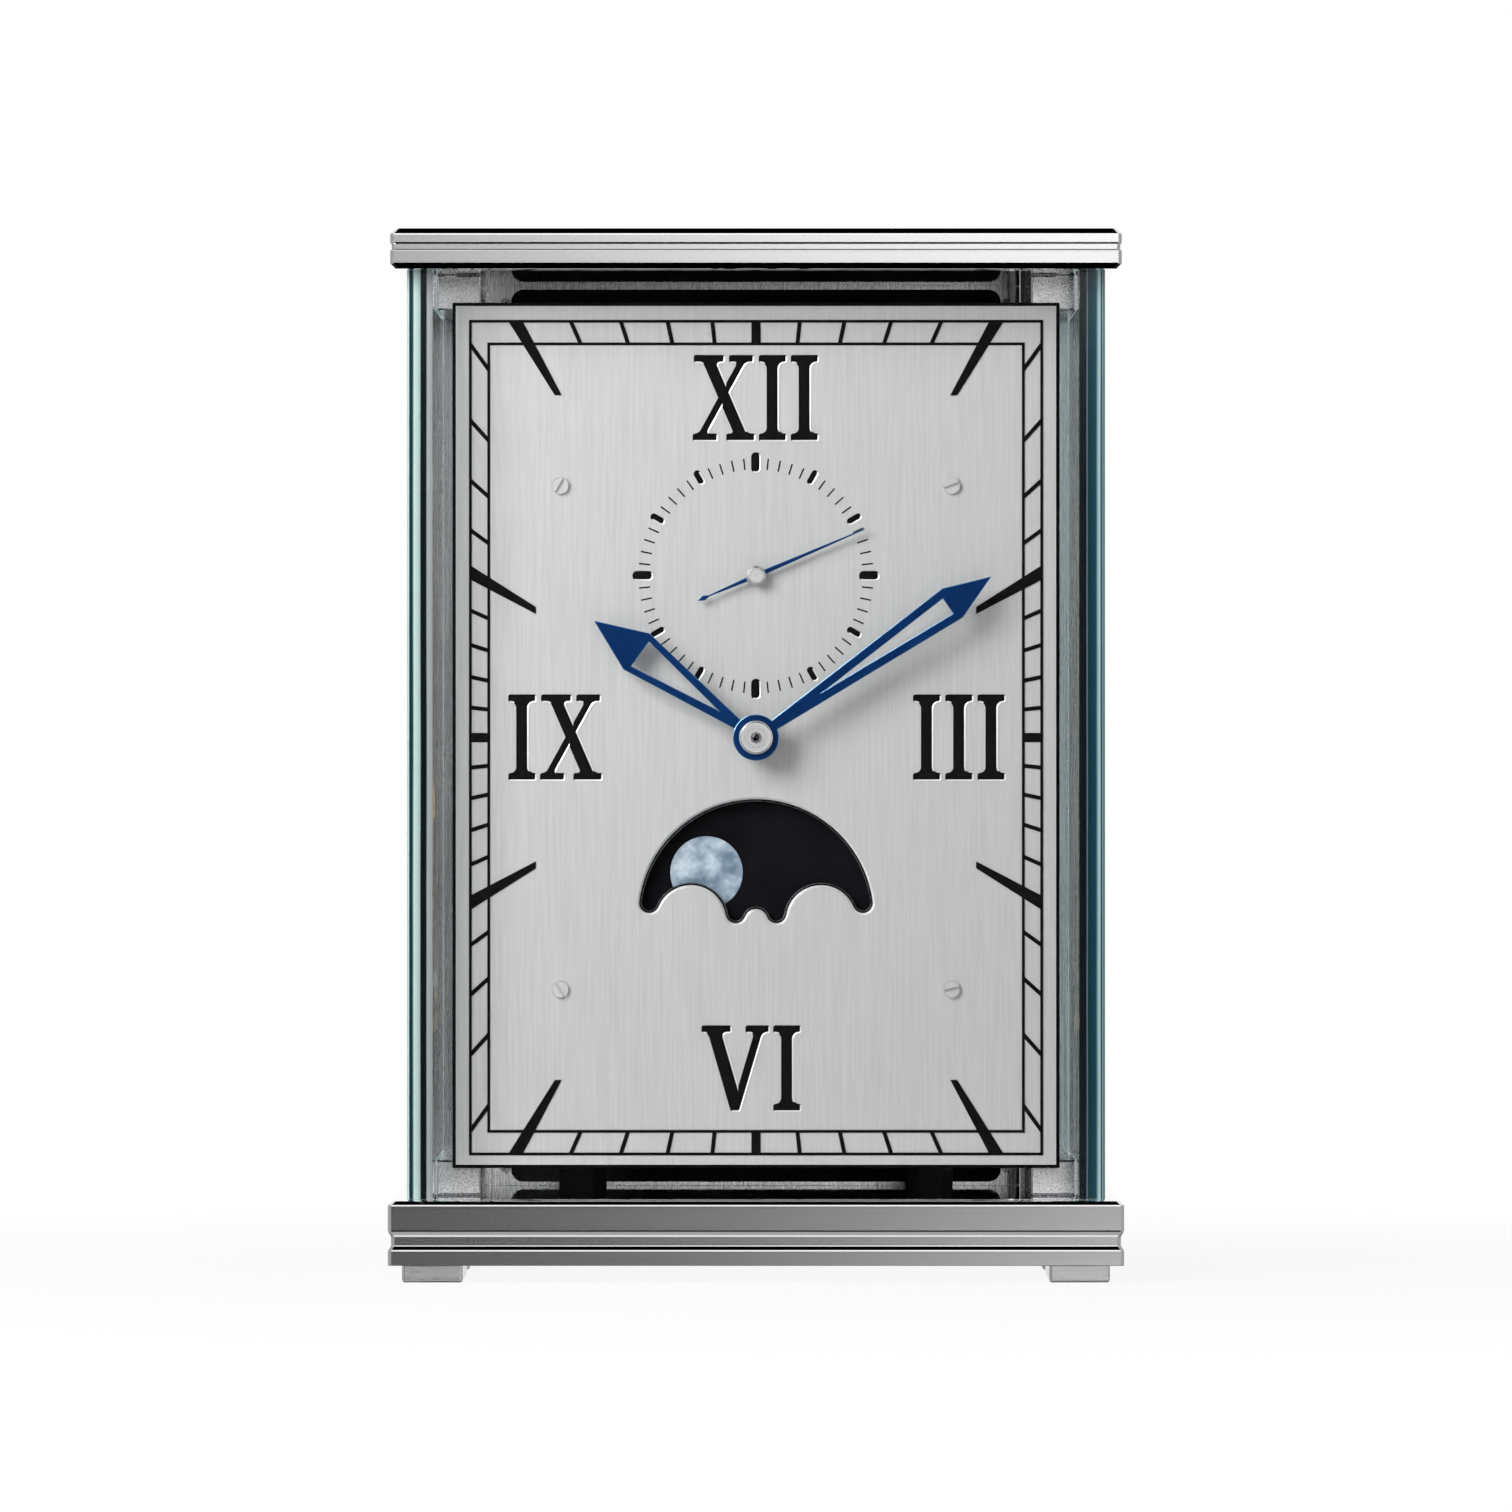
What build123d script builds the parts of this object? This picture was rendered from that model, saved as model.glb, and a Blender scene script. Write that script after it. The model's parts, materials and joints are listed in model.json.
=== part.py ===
from build123d import *
import math
import os

os.makedirs("parts", exist_ok=True)

# A glass-sided table clock with a moon dial. Millimetres, +Z up, the front of the clock faces -Y,
# and the origin lies on the table under the middle of the base.


# Sizes of the case

base_width = 129.1
base_depth = 80.0
base_height = 11.3
base_lower_face = 3.2
base_band = 1.9
base_groove = 0.55
base_chamfer = 0.7
top_set_in = 0.4            # how far the top plate stays inside the base plate on each side
top_height = 7.1
top_lower_face = 3.2
top_band = 1.3
top_groove = 0.25
top_chamfer = 0.8
slope_gap = 0.05            # the flat ledge that is left beside each groove's slope
corner_chamfer = 0.6
clear_height = 163.5        # between the base and the top plate
foot_width = 10.7
foot_depth = 27.0
foot_height = 3.1
foot_inset = 2.4
foot_chamfer = 0.4
glass_thickness = 4.5
glass_inset = 3.25          # from the edge of the base to the outside of the glass
glass_chamfer = 0.4
rail_width = 8.0
rail_height = 6.3
rail_setback = 27.0         # from the front of the base to the front of the rails
rail_chamfer = 0.3

# Sizes of the rear wall and its door

rear_thickness = 4.8
stile_width = 8.5
door_gap = 0.3
door_end_gap = 0.4
lining_side = 3.5           # bare metal beside the black panel
lining_margin = 0.3
lining_thickness = 0.6
lining_corner = 2.3
door_screw_side = 2.5
door_screw_end = 2.8
door_screw_radius = 0.9
door_screw_head = 0.5
pivot_radius = 0.8
pivot_depth = 4.0
knob_side = 8.0             # from the door's left edge to the middle of the knob
knob_radius = 3.0
knob_length = 2.9
knob_chamfer = 0.4
spindle_radius = 1.2
tongue_length = 13.0
tongue_width = 4.0
tongue_thickness = 0.9
tongue_gap = 0.1

# Sizes of the dial

dial_drop = 0.45            # how far the hand arbor lies under the middle of the glass
dial_setback = 18.0         # from the front of the base to the face of the dial
dial_side_gap = 3.75        # from the dial plate to the side glass
dial_end_gap = 5.85         # from the dial plate to the base and the top plate
dial_rise = 0.4             # the plate's middle lies this much above the hand arbor
dial_thickness = 1.5
dial_rim = 0.65             # how far the black backing shows round the dial
backing_thickness = 1.0
mark_thickness = 0.12
track_side_margin = 2.55
track_end_margin = 2.3
band_side_width = 3.25      # the band of minute ticks
band_end_width = 4.0
track_line = 0.5
tick_width = 0.72
quarter_width = 1.65
wedge_side_reach = 8.35     # how far the hour wedges reach in from the band
wedge_end_reach = 9.1
wedge_outer = 2.3
wedge_inner = 1.0
numeral_height = 14.8
serif_thickness = 0.92
numeral_side_margin = 11.45  # from the band to the middle of the letters
numeral_top_margin = 9.6
numeral_bottom_margin = 11.1
stem_pitch = 5.7
seconds_z = 28.6            # the seconds arbor above the hand arbor
seconds_bar_inner = 18.9
seconds_bar_outer = 21.2
seconds_bar_width = 0.75
seconds_quarter_inner = 18.45
seconds_quarter_outer = 21.6
seconds_quarter_width = 1.24
dial_screw_head = 1.5
dial_screw_rise = 0.6

# Sizes of the moon aperture and the moon

moon_z = -31.7              # the moon arbor under the hand arbor
arch_radius = 21.15
lobe_radius = 2.1
lobe_angle = 7.4
bump_radius = 5.9
bump_x = 11.5
inner_lobe_x = 3.6
middle_bump_radius = 1.73
backing_lip = 0.6           # how far the backing's aperture stays inside the dial's
moon_disc_radius = 23.0
moon_disc_thickness = 0.8
moon_gap = 0.3
moon_radius = 6.42
moon_orbit_radius = 11.75
moon_angle = 138.2          # the moon's place at rest, anticlockwise from the right
moon_face_thickness = 0.12

# Sizes of the hands

minute_end_gap = 0.2        # from the minute hand's tip to the outside of the track
minute_tip = 8.3            # from its broadest place to its tip
minute_half_width = 3.16
minute_slot_start = 15.0
minute_slot_margin = 1.0
minute_slot_half = 1.6
hour_shortfall = 15.0       # how much shorter than the minute hand
hour_tip = 9.3
hour_half_width = 3.95
hour_slot_start = 8.25
hour_slot_margin = 0.8
hour_slot_half = 2.65
hand_root_half = 0.95
hand_ring = 4.08
hand_thickness = 0.6
minute_angle = 55.6         # at rest, clockwise from twelve
hour_angle = 305.8
seconds_angle = 66.8
hour_hand_standoff = 3.5    # from the dial to the back of each hand
minute_hand_standoff = 5.2
seconds_hand_standoff = 1.2
cap_radius = 3.0
cap_thickness = 1.0
cap_chamfer = 0.3
pin_radius = 0.78
pin_rise = 0.6
seconds_length = 20.9
seconds_root_half = 0.43
seconds_tip_half = 0.1
seconds_tail = 11.3
lozenge_length = 2.6
lozenge_half = 0.48
seconds_thickness = 0.4
seconds_hub_radius = 1.73
seconds_hub_length = 1.3
seconds_hub_chamfer = 0.35

# Sizes of the movement

plate_width = 79.2
plate_height = 99.0
plate_corner = 3.0
plate_thickness = 2.0
dial_standoff = 10.5        # from the dial's backing to the front plate
pillar_inset = 5.0          # from the edges of the plates to the pillars and the dial's screws
pillar_across = 6.0
dial_pillar_across = 5.5
nut_across = 5.0
nut_thickness = 1.6
seat_side_overhang = 0.4
seat_overhang = 4.0
seat_thickness = 3.0
seat_post_across = 7.0
seat_post_side_inset = 9.0
seat_post_end_inset = 5.0

# Sizes of the wheels

going_module = 0.42
motion_module = 0.5
barrel_module = 0.5
centre_teeth = 64
third_teeth = 60
fourth_teeth = 48
barrel_teeth = 72
train_leaves = 8
escape_leaves = 6
cannon_leaves = 10
minute_teeth = 30
minute_leaves = 8
hour_teeth = 32
moon_leaves = 6
moon_one_teeth = 42
moon_two_teeth = 45
moon_teeth = 54
wheel_thickness = 1.0
moon_wheel_thickness = 0.8
arbor_radius = 1.1
thin_arbor_radius = 0.6
arbor_pivot_radius = 0.5
centre_arbor_radius = 0.9
winding_arbor_radius = 2.0
winding_square = 2.8
winding_square_gap = 4.45   # from the end of the winding square to the rear door
cannon_radius = 1.5
hour_pipe_radius = 2.2
stud_radius = 0.75
thin_stud_radius = 0.5
moon_stud_radius = 1.2
moon_hub_radius = 2.0
barrel_radius = 16.0
ratchet_radius = 7.0
ratchet_teeth = 24
ratchet_depth = 0.9
ratchet_face_share = 0.12   # the part of a saw tooth's pitch that its steep side takes
ratchet_thickness = 1.6
escape_radius = 5.0
escape_teeth = 15
escape_tooth_depth = 1.3
escape_thickness = 0.8
lever_distance = 7.4
lever_thickness = 0.9
lever_arm = 0.9
lever_boss = 1.2
fork_length = 8.0
fork_width = 1.8
fork_notch = 0.7
pallet_gap = 0.6
pallet_width = 0.5
pallet_height = 1.5
balance_distance = 9.6
balance_radius = 6.5
balance_rim = 0.9
balance_thickness = 1.1
balance_arm = 1.1
roller_radius = 1.0
roller_thickness = 0.8
click_length = 9.0
click_width = 2.2
click_thickness = 1.3
click_boss = 2.2
click_gap = 0.35
click_pin_radius = 1.0
click_head_radius = 1.8
click_head_thickness = 0.7

# Directions from one axis to the next, anticlockwise from the right

barrel_angle = -127
escape_angle = 50
lever_angle = 140
balance_angle = 186
minute_wheel_angle = -45
moon_one_angle = -60
pallet_swing = 35
balance_arm_angle = 30

# Depths of the wheels' backs: in front of the front plate, behind its inner face, and then in front
# of the rear plate

minute_wheel_standoff = 0.8
hour_wheel_gap = 0.8
moon_drive_gap = 1.4
moon_one_gap = 0.6
moon_two_standoff = 2.9
moon_wheel_standoff = 1.2
fourth_wheel_depth = 3.0
barrel_front_gap = 2.5
escape_wheel_gap = 8.2
barrel_gap = 6.0
balance_gap = 4.0
centre_wheel_gap = 3.4
centre_pinion_overlap = 2.5
train_pinion_overlap = 1.0

# Shares of the depth: the space between the plates in what is left behind the dial, and the third
# wheel's place in that space

plate_spacing_share = 0.66
third_wheel_share = 0.375

# Clearances and overruns

running_gap = 0.05          # round a shaft or stud that turns
fit_gap = 0.02              # round a pin that stays put
side_gap = 0.3              # along a shaft, beside a wheel
cut_over = 1.0              # how far a cut runs past the piece

# Faces round what is too fine to need a true circle

fine_sides = 8
head_sides = 12

# Tooth forms, as shares of the module and of the pitch

wheel_addendum_share = 1.0
wheel_dedendum_share = 1.6
wheel_root_share = 1.0
pinion_addendum_share = 0.7
pinion_dedendum_share = 1.3
pinion_root_share = 0.56
pinion_tip_share = 0.22

# Letter forms, as shares of the numeral's height: strokes as (x at the top, x at the bottom, width),
# serifs as (x of the middle, length)

stem_shares = [(0.0, 0.0, 0.115)]
stem_serif_shares = [(0.0, 0.305)]
cross_shares = [(-0.203, 0.230, 0.135), (0.252, -0.297, 0.074)]
cross_top_shares = [(-0.180, 0.338), (0.205, 0.267)]
cross_bottom_shares = [(-0.227, 0.270), (0.197, 0.318)]
vee_shares = [(-0.266, 0.024, 0.145), (0.297, 0.0, 0.081)]
vee_top_shares = [(-0.229, 0.329), (0.261, 0.259)]

# Places of the letters in a numeral, as shares of the numeral's height

twelve_shares = (-0.3885, 0.1912, 0.5736)
nine_shares = (-0.3919, 0.1959)
six_shares = (-0.2514, 0.3635)


# Heights and depths that follow from the sizes

base_top = foot_height + base_height
top_bottom = base_top + clear_height
dial_z = base_top + clear_height / 2 - dial_drop
front_y = -base_depth / 2
glass_front_y = front_y + glass_inset
glass_back_y = glass_front_y + glass_thickness
glass_side_x = base_width / 2 - glass_inset
glass_inner_x = glass_side_x - glass_thickness
door_width = 2 * (glass_inner_x - stile_width - door_gap)
top_width = base_width - 2 * top_set_in
top_depth = base_depth - 2 * top_set_in
rear_back_y = base_depth / 2 - glass_inset
rear_front_y = rear_back_y - rear_thickness
lining_front_y = rear_front_y - lining_thickness
rail_front_y = front_y + rail_setback
dial_front_y = front_y + dial_setback
dial_back_y = dial_front_y + dial_thickness
backing_back_y = dial_back_y + backing_thickness
plate_front_y = backing_back_y + dial_standoff
plate_inner_y = plate_front_y + plate_thickness
plate_spacing = plate_spacing_share * (lining_front_y - plate_inner_y - plate_thickness)
rear_plate_y = plate_inner_y + plate_spacing
rear_plate_back_y = rear_plate_y + plate_thickness
moon_front_y = backing_back_y + moon_gap
moon_back_y = moon_front_y + moon_disc_thickness
hour_hand_y = dial_front_y - hour_hand_standoff
minute_hand_y = dial_front_y - minute_hand_standoff
seconds_hand_y = dial_front_y - seconds_hand_standoff
dial_width = 2 * (glass_inner_x - dial_side_gap)
dial_height = clear_height - 2 * dial_end_gap
track_half_width = dial_width / 2 - track_side_margin
track_half_height = dial_height / 2 - track_end_margin
inner_half_width = track_half_width - band_side_width
inner_half_height = track_half_height - band_end_width
wedge_half_width = inner_half_width - wedge_side_reach
wedge_half_height = inner_half_height - wedge_end_reach
minute_length = track_half_width - minute_end_gap
hour_length = minute_length - hour_shortfall
dial_screw_x = plate_width / 2 - pillar_inset
dial_screw_z = plate_height / 2 - pillar_inset
dial_middle = (0, dial_z + dial_rise)
centre = (0, dial_z)
seconds_centre = (0, dial_z + seconds_z)
moon_centre = (0, dial_z + moon_z)


# Drawing helpers

def layer(y):
    """Drawing plane that faces the front of the clock, at depth y: x runs right and y runs up."""
    return Plane.XZ.offset(-y)


def polar(start, distance, angle):
    """Point at a distance and an angle, anticlockwise from the right, from a start point."""
    turn = math.radians(angle)
    return (start[0] + distance * math.cos(turn), start[1] + distance * math.sin(turn))


def bearing(start, end):
    """Angle of the line from one point to another."""
    return math.degrees(math.atan2(end[1] - start[1], end[0] - start[0]))


def meeting_point(start, start_distance, end, end_distance, side):
    """Point at given distances from two others, on the chosen side of the line between them."""
    span = math.dist(start, end)
    along = (start_distance**2 - end_distance**2 + span**2) / (2 * span)
    angle = math.degrees(math.acos(along / start_distance))
    return polar(start, start_distance, bearing(start, end) + side * angle)


def mesh_distance(module, teeth, leaves):
    """Distance between the axes of a wheel and a pinion in mesh."""
    return module * (teeth + leaves) / 2


def mesh_turn(turn, teeth, other_teeth, line):
    """Turn that sets a second wheel's teeth in the gaps of the first, along the line between them."""
    passed = (line - turn) * teeth / 360
    return line + 180 - (0.5 - passed) * 360 / other_teeth


def toothed_ring(teeth, module, addendum_share, dedendum_share, root_share, tip_share):
    """Toothed outline with its first tooth on the right."""
    tip = module * (teeth / 2 + addendum_share)
    root = module * (teeth / 2 - dedendum_share)
    half_pitch = 180 / teeth
    points = []
    for tooth in range(teeth):
        middle = tooth * 2 * half_pitch
        points.append(polar((0, 0), root, middle - root_share * half_pitch))
        points.append(polar((0, 0), tip, middle - tip_share * half_pitch))
        if tip_share > 0:
            points.append(polar((0, 0), tip, middle + tip_share * half_pitch))
        if root_share < 1:
            points.append(polar((0, 0), root, middle + root_share * half_pitch))
    with BuildSketch() as ring:
        Polygon(*points, align=None)
    return ring.sketch


def wheel_outline(teeth, module):
    """A brass wheel: pointed teeth."""
    return toothed_ring(
        teeth, module, wheel_addendum_share, wheel_dedendum_share, wheel_root_share, 0
    )


def pinion_outline(leaves, module):
    """A steel pinion: short leaves with flat tips."""
    return toothed_ring(
        leaves, module, pinion_addendum_share, pinion_dedendum_share, pinion_root_share, pinion_tip_share
    )


def turned(at, radius, back, front, mode=Mode.ADD):
    """A cylinder along the clock's depth, added to the open piece or cut from it."""
    with BuildSketch(layer(back)) as disc:
        with Locations(at):
            Circle(radius)
    extrude(disc.sketch, amount=back - front, mode=mode)


def fine_turned(at, radius, back, front, mode=Mode.ADD):
    """The same with few faces; a shaft stays within its radius, and a cut is clear to its radius."""
    with BuildSketch(layer(back)) as disc:
        with Locations(at):
            RegularPolygon(radius, fine_sides, major_radius=mode == Mode.ADD)
    extrude(disc.sketch, amount=back - front, mode=mode)


def fine_hole(radius):
    """A hole with few faces in the open sketch, clear to its radius."""
    RegularPolygon(radius, fine_sides, major_radius=False, mode=Mode.SUBTRACT)


def pressed(outline, at, turn, back, front, mode=Mode.ADD):
    """A flat outline, turned and given its thickness, added to the open piece or cut from it."""
    with BuildSketch(layer(back)) as flat:
        with Locations(at):
            add(outline, rotation=turn)
    extrude(flat.sketch, amount=back - front, mode=mode)


def save(piece, name):
    """Label a finished piece and write it to its own file."""
    piece.part.label = name
    export_step(piece.part, f"parts/{name}.step")


corner_signs = {
    "left": -1,
    "right": 1,
}


# Base plate and top plate: two faces with a shallow band let in between them

with BuildPart() as base_plate:
    with BuildSketch(Plane.XY.offset(foot_height)) as lower_outline:
        Rectangle(base_width, base_depth)
        chamfer(lower_outline.vertices(), corner_chamfer)
    extrude(amount=base_lower_face)
    chamfer(base_plate.faces().sort_by(Axis.Z)[-1].edges(), base_groove - slope_gap)
    with BuildSketch(Plane.XY.offset(foot_height + base_lower_face)) as band_outline:
        Rectangle(base_width - 2 * base_groove, base_depth - 2 * base_groove)
        chamfer(band_outline.vertices(), corner_chamfer)
    extrude(amount=base_band)
    with BuildSketch(Plane.XY.offset(foot_height + base_lower_face + base_band)):
        add(lower_outline.sketch_local)
    extrude(amount=base_height - base_lower_face - base_band)
    ledge = base_plate.faces().filter_by(Axis.Z).group_by(Axis.Z)[-2][0]
    chamfer(ledge.outer_wire().edges(), base_groove - slope_gap)
    chamfer(base_plate.faces().sort_by(Axis.Z)[-1].edges(), base_chamfer)
    with BuildSketch(Plane.XY.offset(base_top)):
        with Locations((door_width / 2 - rear_thickness / 2, rear_front_y + rear_thickness / 2)):
            Circle(pivot_radius + fit_gap)
    extrude(amount=-pivot_depth, mode=Mode.SUBTRACT)
save(base_plate, "base_plate")

with BuildPart() as top_plate:
    with BuildSketch(Plane.XY.offset(top_bottom)) as lower_outline:
        Rectangle(top_width, top_depth)
        chamfer(lower_outline.vertices(), corner_chamfer)
    extrude(amount=top_lower_face)
    chamfer(top_plate.faces().sort_by(Axis.Z)[0].edges(), top_chamfer)
    chamfer(top_plate.faces().sort_by(Axis.Z)[-1].edges(), top_groove - slope_gap)
    with BuildSketch(Plane.XY.offset(top_bottom + top_lower_face)) as band_outline:
        Rectangle(top_width - 2 * top_groove, top_depth - 2 * top_groove)
        chamfer(band_outline.vertices(), corner_chamfer)
    extrude(amount=top_band)
    with BuildSketch(Plane.XY.offset(top_bottom + top_lower_face + top_band)):
        add(lower_outline.sketch_local)
    extrude(amount=top_height - top_lower_face - top_band)
    ledge = top_plate.faces().filter_by(Axis.Z).group_by(Axis.Z)[-2][0]
    chamfer(ledge.outer_wire().edges(), top_groove - slope_gap)
    chamfer(top_plate.faces().sort_by(Axis.Z)[-1].edges(), top_chamfer)
    with BuildSketch(Plane.XY.offset(top_bottom)):
        with Locations((door_width / 2 - rear_thickness / 2, rear_front_y + rear_thickness / 2)):
            Circle(pivot_radius + fit_gap)
    extrude(amount=pivot_depth, mode=Mode.SUBTRACT)
save(top_plate, "top_plate")


# Feet

for side, sign in corner_signs.items():
    for end, end_sign in {"front": -1, "rear": 1}.items():
        foot_x = sign * (base_width / 2 - foot_inset - foot_width / 2)
        foot_y = end_sign * (base_depth / 2 - foot_inset - foot_depth / 2)
        with BuildPart() as foot:
            with BuildSketch():
                with Locations((foot_x, foot_y)):
                    Rectangle(foot_width, foot_depth)
            extrude(amount=foot_height)
            chamfer(foot.edges().filter_by(Axis.Z), foot_chamfer)
            chamfer(foot.faces().sort_by(Axis.Z)[0].edges(), foot_chamfer)
        save(foot, f"{end}_{side}_foot")


# Glass: the front pane covers the ends of the two side panes

with BuildPart() as front_glass:
    with BuildSketch(Plane.XY.offset(base_top)):
        with Locations((0, glass_front_y + glass_thickness / 2)):
            Rectangle(2 * glass_side_x, glass_thickness)
    extrude(amount=clear_height)
    chamfer(front_glass.edges().filter_by(Axis.Z).group_by(Axis.Y)[0], glass_chamfer)
save(front_glass, "front_glass")

for side, sign in corner_signs.items():
    with BuildPart() as side_glass:
        with BuildSketch(Plane.XY.offset(base_top)):
            with Locations((sign * (glass_side_x - glass_thickness / 2), (glass_back_y + rear_back_y) / 2)):
                Rectangle(glass_thickness, rear_back_y - glass_back_y)
        extrude(amount=clear_height)
        chamfer(side_glass.edges().filter_by(Axis.Z).group_by(Axis.Y)[-1], glass_chamfer)
    save(side_glass, f"{side}_glass")


# Corner rails, from the rear wall forward, under the top plate and on the base plate

for side, sign in corner_signs.items():
    for level, rail_bottom in {"upper": top_bottom - rail_height, "lower": base_top}.items():
        with BuildPart() as rail:
            with BuildSketch(Plane.XY.offset(rail_bottom)):
                with Locations((sign * (glass_inner_x - rail_width / 2), (rail_front_y + rear_front_y) / 2)):
                    Rectangle(rail_width, rear_front_y - rail_front_y)
            extrude(amount=rail_height)
            chamfer(rail.faces().sort_by(Axis.Y)[0].edges(), rail_chamfer)
        save(rail, f"{level}_{side}_rail")


# Rear wall: two stiles, with a door between them that turns on two pivots

for side, sign in corner_signs.items():
    with BuildPart() as stile:
        with BuildSketch(Plane.XY.offset(base_top)):
            with Locations((sign * (glass_inner_x - stile_width / 2), (rear_front_y + rear_back_y) / 2)):
                Rectangle(stile_width, rear_thickness)
        extrude(amount=clear_height)
    save(stile, f"{side}_stile")

door_bottom = base_top + door_end_gap
door_height = clear_height - 2 * door_end_gap
door_middle_z = base_top + clear_height / 2
pivot_x = door_width / 2 - rear_thickness / 2
pivot_y = rear_front_y + rear_thickness / 2
knob_centre = (knob_side - door_width / 2, door_middle_z)
door_screw_x = door_width / 2 - door_screw_side

with BuildPart() as door_frame:
    with BuildSketch(Plane.XY.offset(door_bottom)):
        with Locations(((pivot_x - door_width / 2) / 2, pivot_y)):
            Rectangle(pivot_x + door_width / 2, rear_thickness)
        with Locations((pivot_x, pivot_y)):
            Circle(rear_thickness / 2)
    extrude(amount=door_height)
    for end_z, reach in ((door_bottom, pivot_depth), (door_bottom + door_height, -pivot_depth)):
        with BuildSketch(Plane.XY.offset(end_z)):
            with Locations((pivot_x, pivot_y)):
                RegularPolygon(pivot_radius + running_gap, fine_sides, major_radius=False)
        extrude(amount=reach, mode=Mode.SUBTRACT)
    fine_turned(knob_centre, spindle_radius + running_gap, rear_back_y, rear_front_y, Mode.SUBTRACT)
save(door_frame, "door_frame")

with BuildPart() as door_lining:
    with BuildSketch(layer(rear_front_y)):
        with Locations((0, door_middle_z)):
            RectangleRounded(door_width - 2 * lining_side, door_height - 2 * lining_margin, lining_corner)
        with Locations(knob_centre):
            fine_hole(spindle_radius + running_gap)
    extrude(amount=lining_thickness)
save(door_lining, "door_lining")

with BuildPart() as door_screws:
    with BuildSketch(layer(rear_front_y)):
        with Locations((0, door_middle_z)):
            with GridLocations(2 * door_screw_x, door_height - 2 * door_screw_end, 2, 2):
                RegularPolygon(door_screw_radius, head_sides)
    extrude(amount=door_screw_head)
save(door_screws, "door_screws")

with BuildPart() as door_pins:
    with BuildSketch(Plane.XY.offset(base_top - pivot_depth)):
        with Locations((pivot_x, pivot_y)):
            RegularPolygon(pivot_radius, fine_sides)
    extrude(amount=2 * pivot_depth)
    with BuildSketch(Plane.XY.offset(top_bottom - pivot_depth)):
        with Locations((pivot_x, pivot_y)):
            RegularPolygon(pivot_radius, fine_sides)
    extrude(amount=2 * pivot_depth)
save(door_pins, "door_pins")

with BuildPart() as door_knob:
    turned(knob_centre, knob_radius, rear_back_y + knob_length, rear_back_y + running_gap)
    chamfer(door_knob.edges().group_by(Axis.Y)[-1], knob_chamfer)
    fine_turned(knob_centre, spindle_radius, rear_back_y + running_gap, lining_front_y - tongue_gap)
save(door_knob, "door_knob")

with BuildPart() as latch_tongue:
    with BuildSketch(layer(lining_front_y - tongue_gap)):
        with Locations((knob_centre[0], door_middle_z + tongue_length / 2 - tongue_width / 2)):
            SlotOverall(tongue_length, tongue_width, rotation=90)
    extrude(amount=tongue_thickness)
save(latch_tongue, "latch_tongue")


# Moon aperture: an arch closed below by two large bumps, with a small one between them

def aperture_outline(inset):
    """The aperture's outline, drawn this much inside the dial's own, about the moon arbor."""
    arch = arch_radius - inset
    lobe = lobe_radius - inset
    bump = bump_radius + inset
    middle_bump = middle_bump_radius + inset
    reach = arch - lobe
    end_lobe = polar((0, 0), reach, lobe_angle)
    bump_y = end_lobe[1] - math.sqrt((bump + lobe)**2 - (end_lobe[0] - bump_x)**2)
    inner_lobe_y = bump_y + math.sqrt((bump + lobe)**2 - (bump_x - inner_lobe_x)**2)
    middle_y = inner_lobe_y - math.sqrt((middle_bump + lobe)**2 - inner_lobe_x**2)
    circles = [
        (end_lobe, lobe, 1),
        ((bump_x, bump_y), bump, -1),
        ((inner_lobe_x, inner_lobe_y), lobe, 1),
        ((0, middle_y), middle_bump, -1),
        ((-inner_lobe_x, inner_lobe_y), lobe, 1),
        ((-bump_x, bump_y), bump, -1),
        ((-end_lobe[0], end_lobe[1]), lobe, 1),
    ]
    arch_ends = [polar((0, 0), arch, lobe_angle), polar((0, 0), arch, 180 - lobe_angle)]
    joints = [arch_ends[0]]
    for (first, radius, _), (second, _, _) in zip(circles, circles[1:]):
        joints.append(polar(first, radius, bearing(first, second)))
    joints.append(arch_ends[1])
    with BuildSketch() as aperture:
        with BuildLine() as outline:
            ThreePointArc(arch_ends[1], (0, arch), arch_ends[0])
            for (middle, radius, bulge), start, end in zip(circles, joints, joints[1:]):
                ThreePointArc(start, (middle[0] + arc_side(middle, start, end)[0] * radius,
                                      middle[1] + arc_side(middle, start, end)[1] * radius), end)
        make_face()
    return aperture.sketch


def arc_side(middle, start, end):
    """Direction from an arc's middle point to the arc, halfway round the short way."""
    half_x = (start[0] + end[0]) / 2 - middle[0]
    half_y = (start[1] + end[1]) / 2 - middle[1]
    length = math.hypot(half_x, half_y)
    return (half_x / length, half_y / length)


# Dial plate, its black backing and the screws that hold them to the movement

with BuildPart() as dial_plate:
    with BuildSketch(layer(dial_back_y)):
        with Locations(dial_middle):
            Rectangle(dial_width, dial_height)
        with Locations(centre):
            fine_hole(hour_pipe_radius + side_gap)
        with Locations(seconds_centre):
            fine_hole(thin_arbor_radius + side_gap)
        with Locations(moon_centre):
            add(aperture_outline(0), mode=Mode.SUBTRACT)
    extrude(amount=dial_thickness)
save(dial_plate, "dial_plate")

with BuildPart() as dial_backing:
    with BuildSketch(layer(backing_back_y)):
        with Locations(dial_middle):
            Rectangle(dial_width + 2 * dial_rim, dial_height + 2 * dial_rim)
        with Locations(centre):
            fine_hole(hour_pipe_radius + side_gap)
        with Locations(seconds_centre):
            fine_hole(thin_arbor_radius + side_gap)
        with Locations(moon_centre):
            add(aperture_outline(backing_lip), mode=Mode.SUBTRACT)
    extrude(amount=backing_thickness)
save(dial_backing, "dial_backing")

with BuildPart() as dial_screws:
    with BuildSketch(layer(dial_front_y)):
        with Locations(centre):
            with GridLocations(2 * dial_screw_x, 2 * dial_screw_z, 2, 2):
                RegularPolygon(dial_screw_head, head_sides)
    extrude(amount=dial_screw_rise)
save(dial_screws, "dial_screws")


# Marks on the dial: a rectangular minute track with hour wedges

def edge_distance(angle, half_width, half_height):
    """Distance from the middle of a rectangle to its side, along a line turned from twelve."""
    turn = math.radians(angle)
    across = abs(math.sin(turn)) / half_width
    upward = abs(math.cos(turn)) / half_height
    return 1 / max(across, upward)


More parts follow.
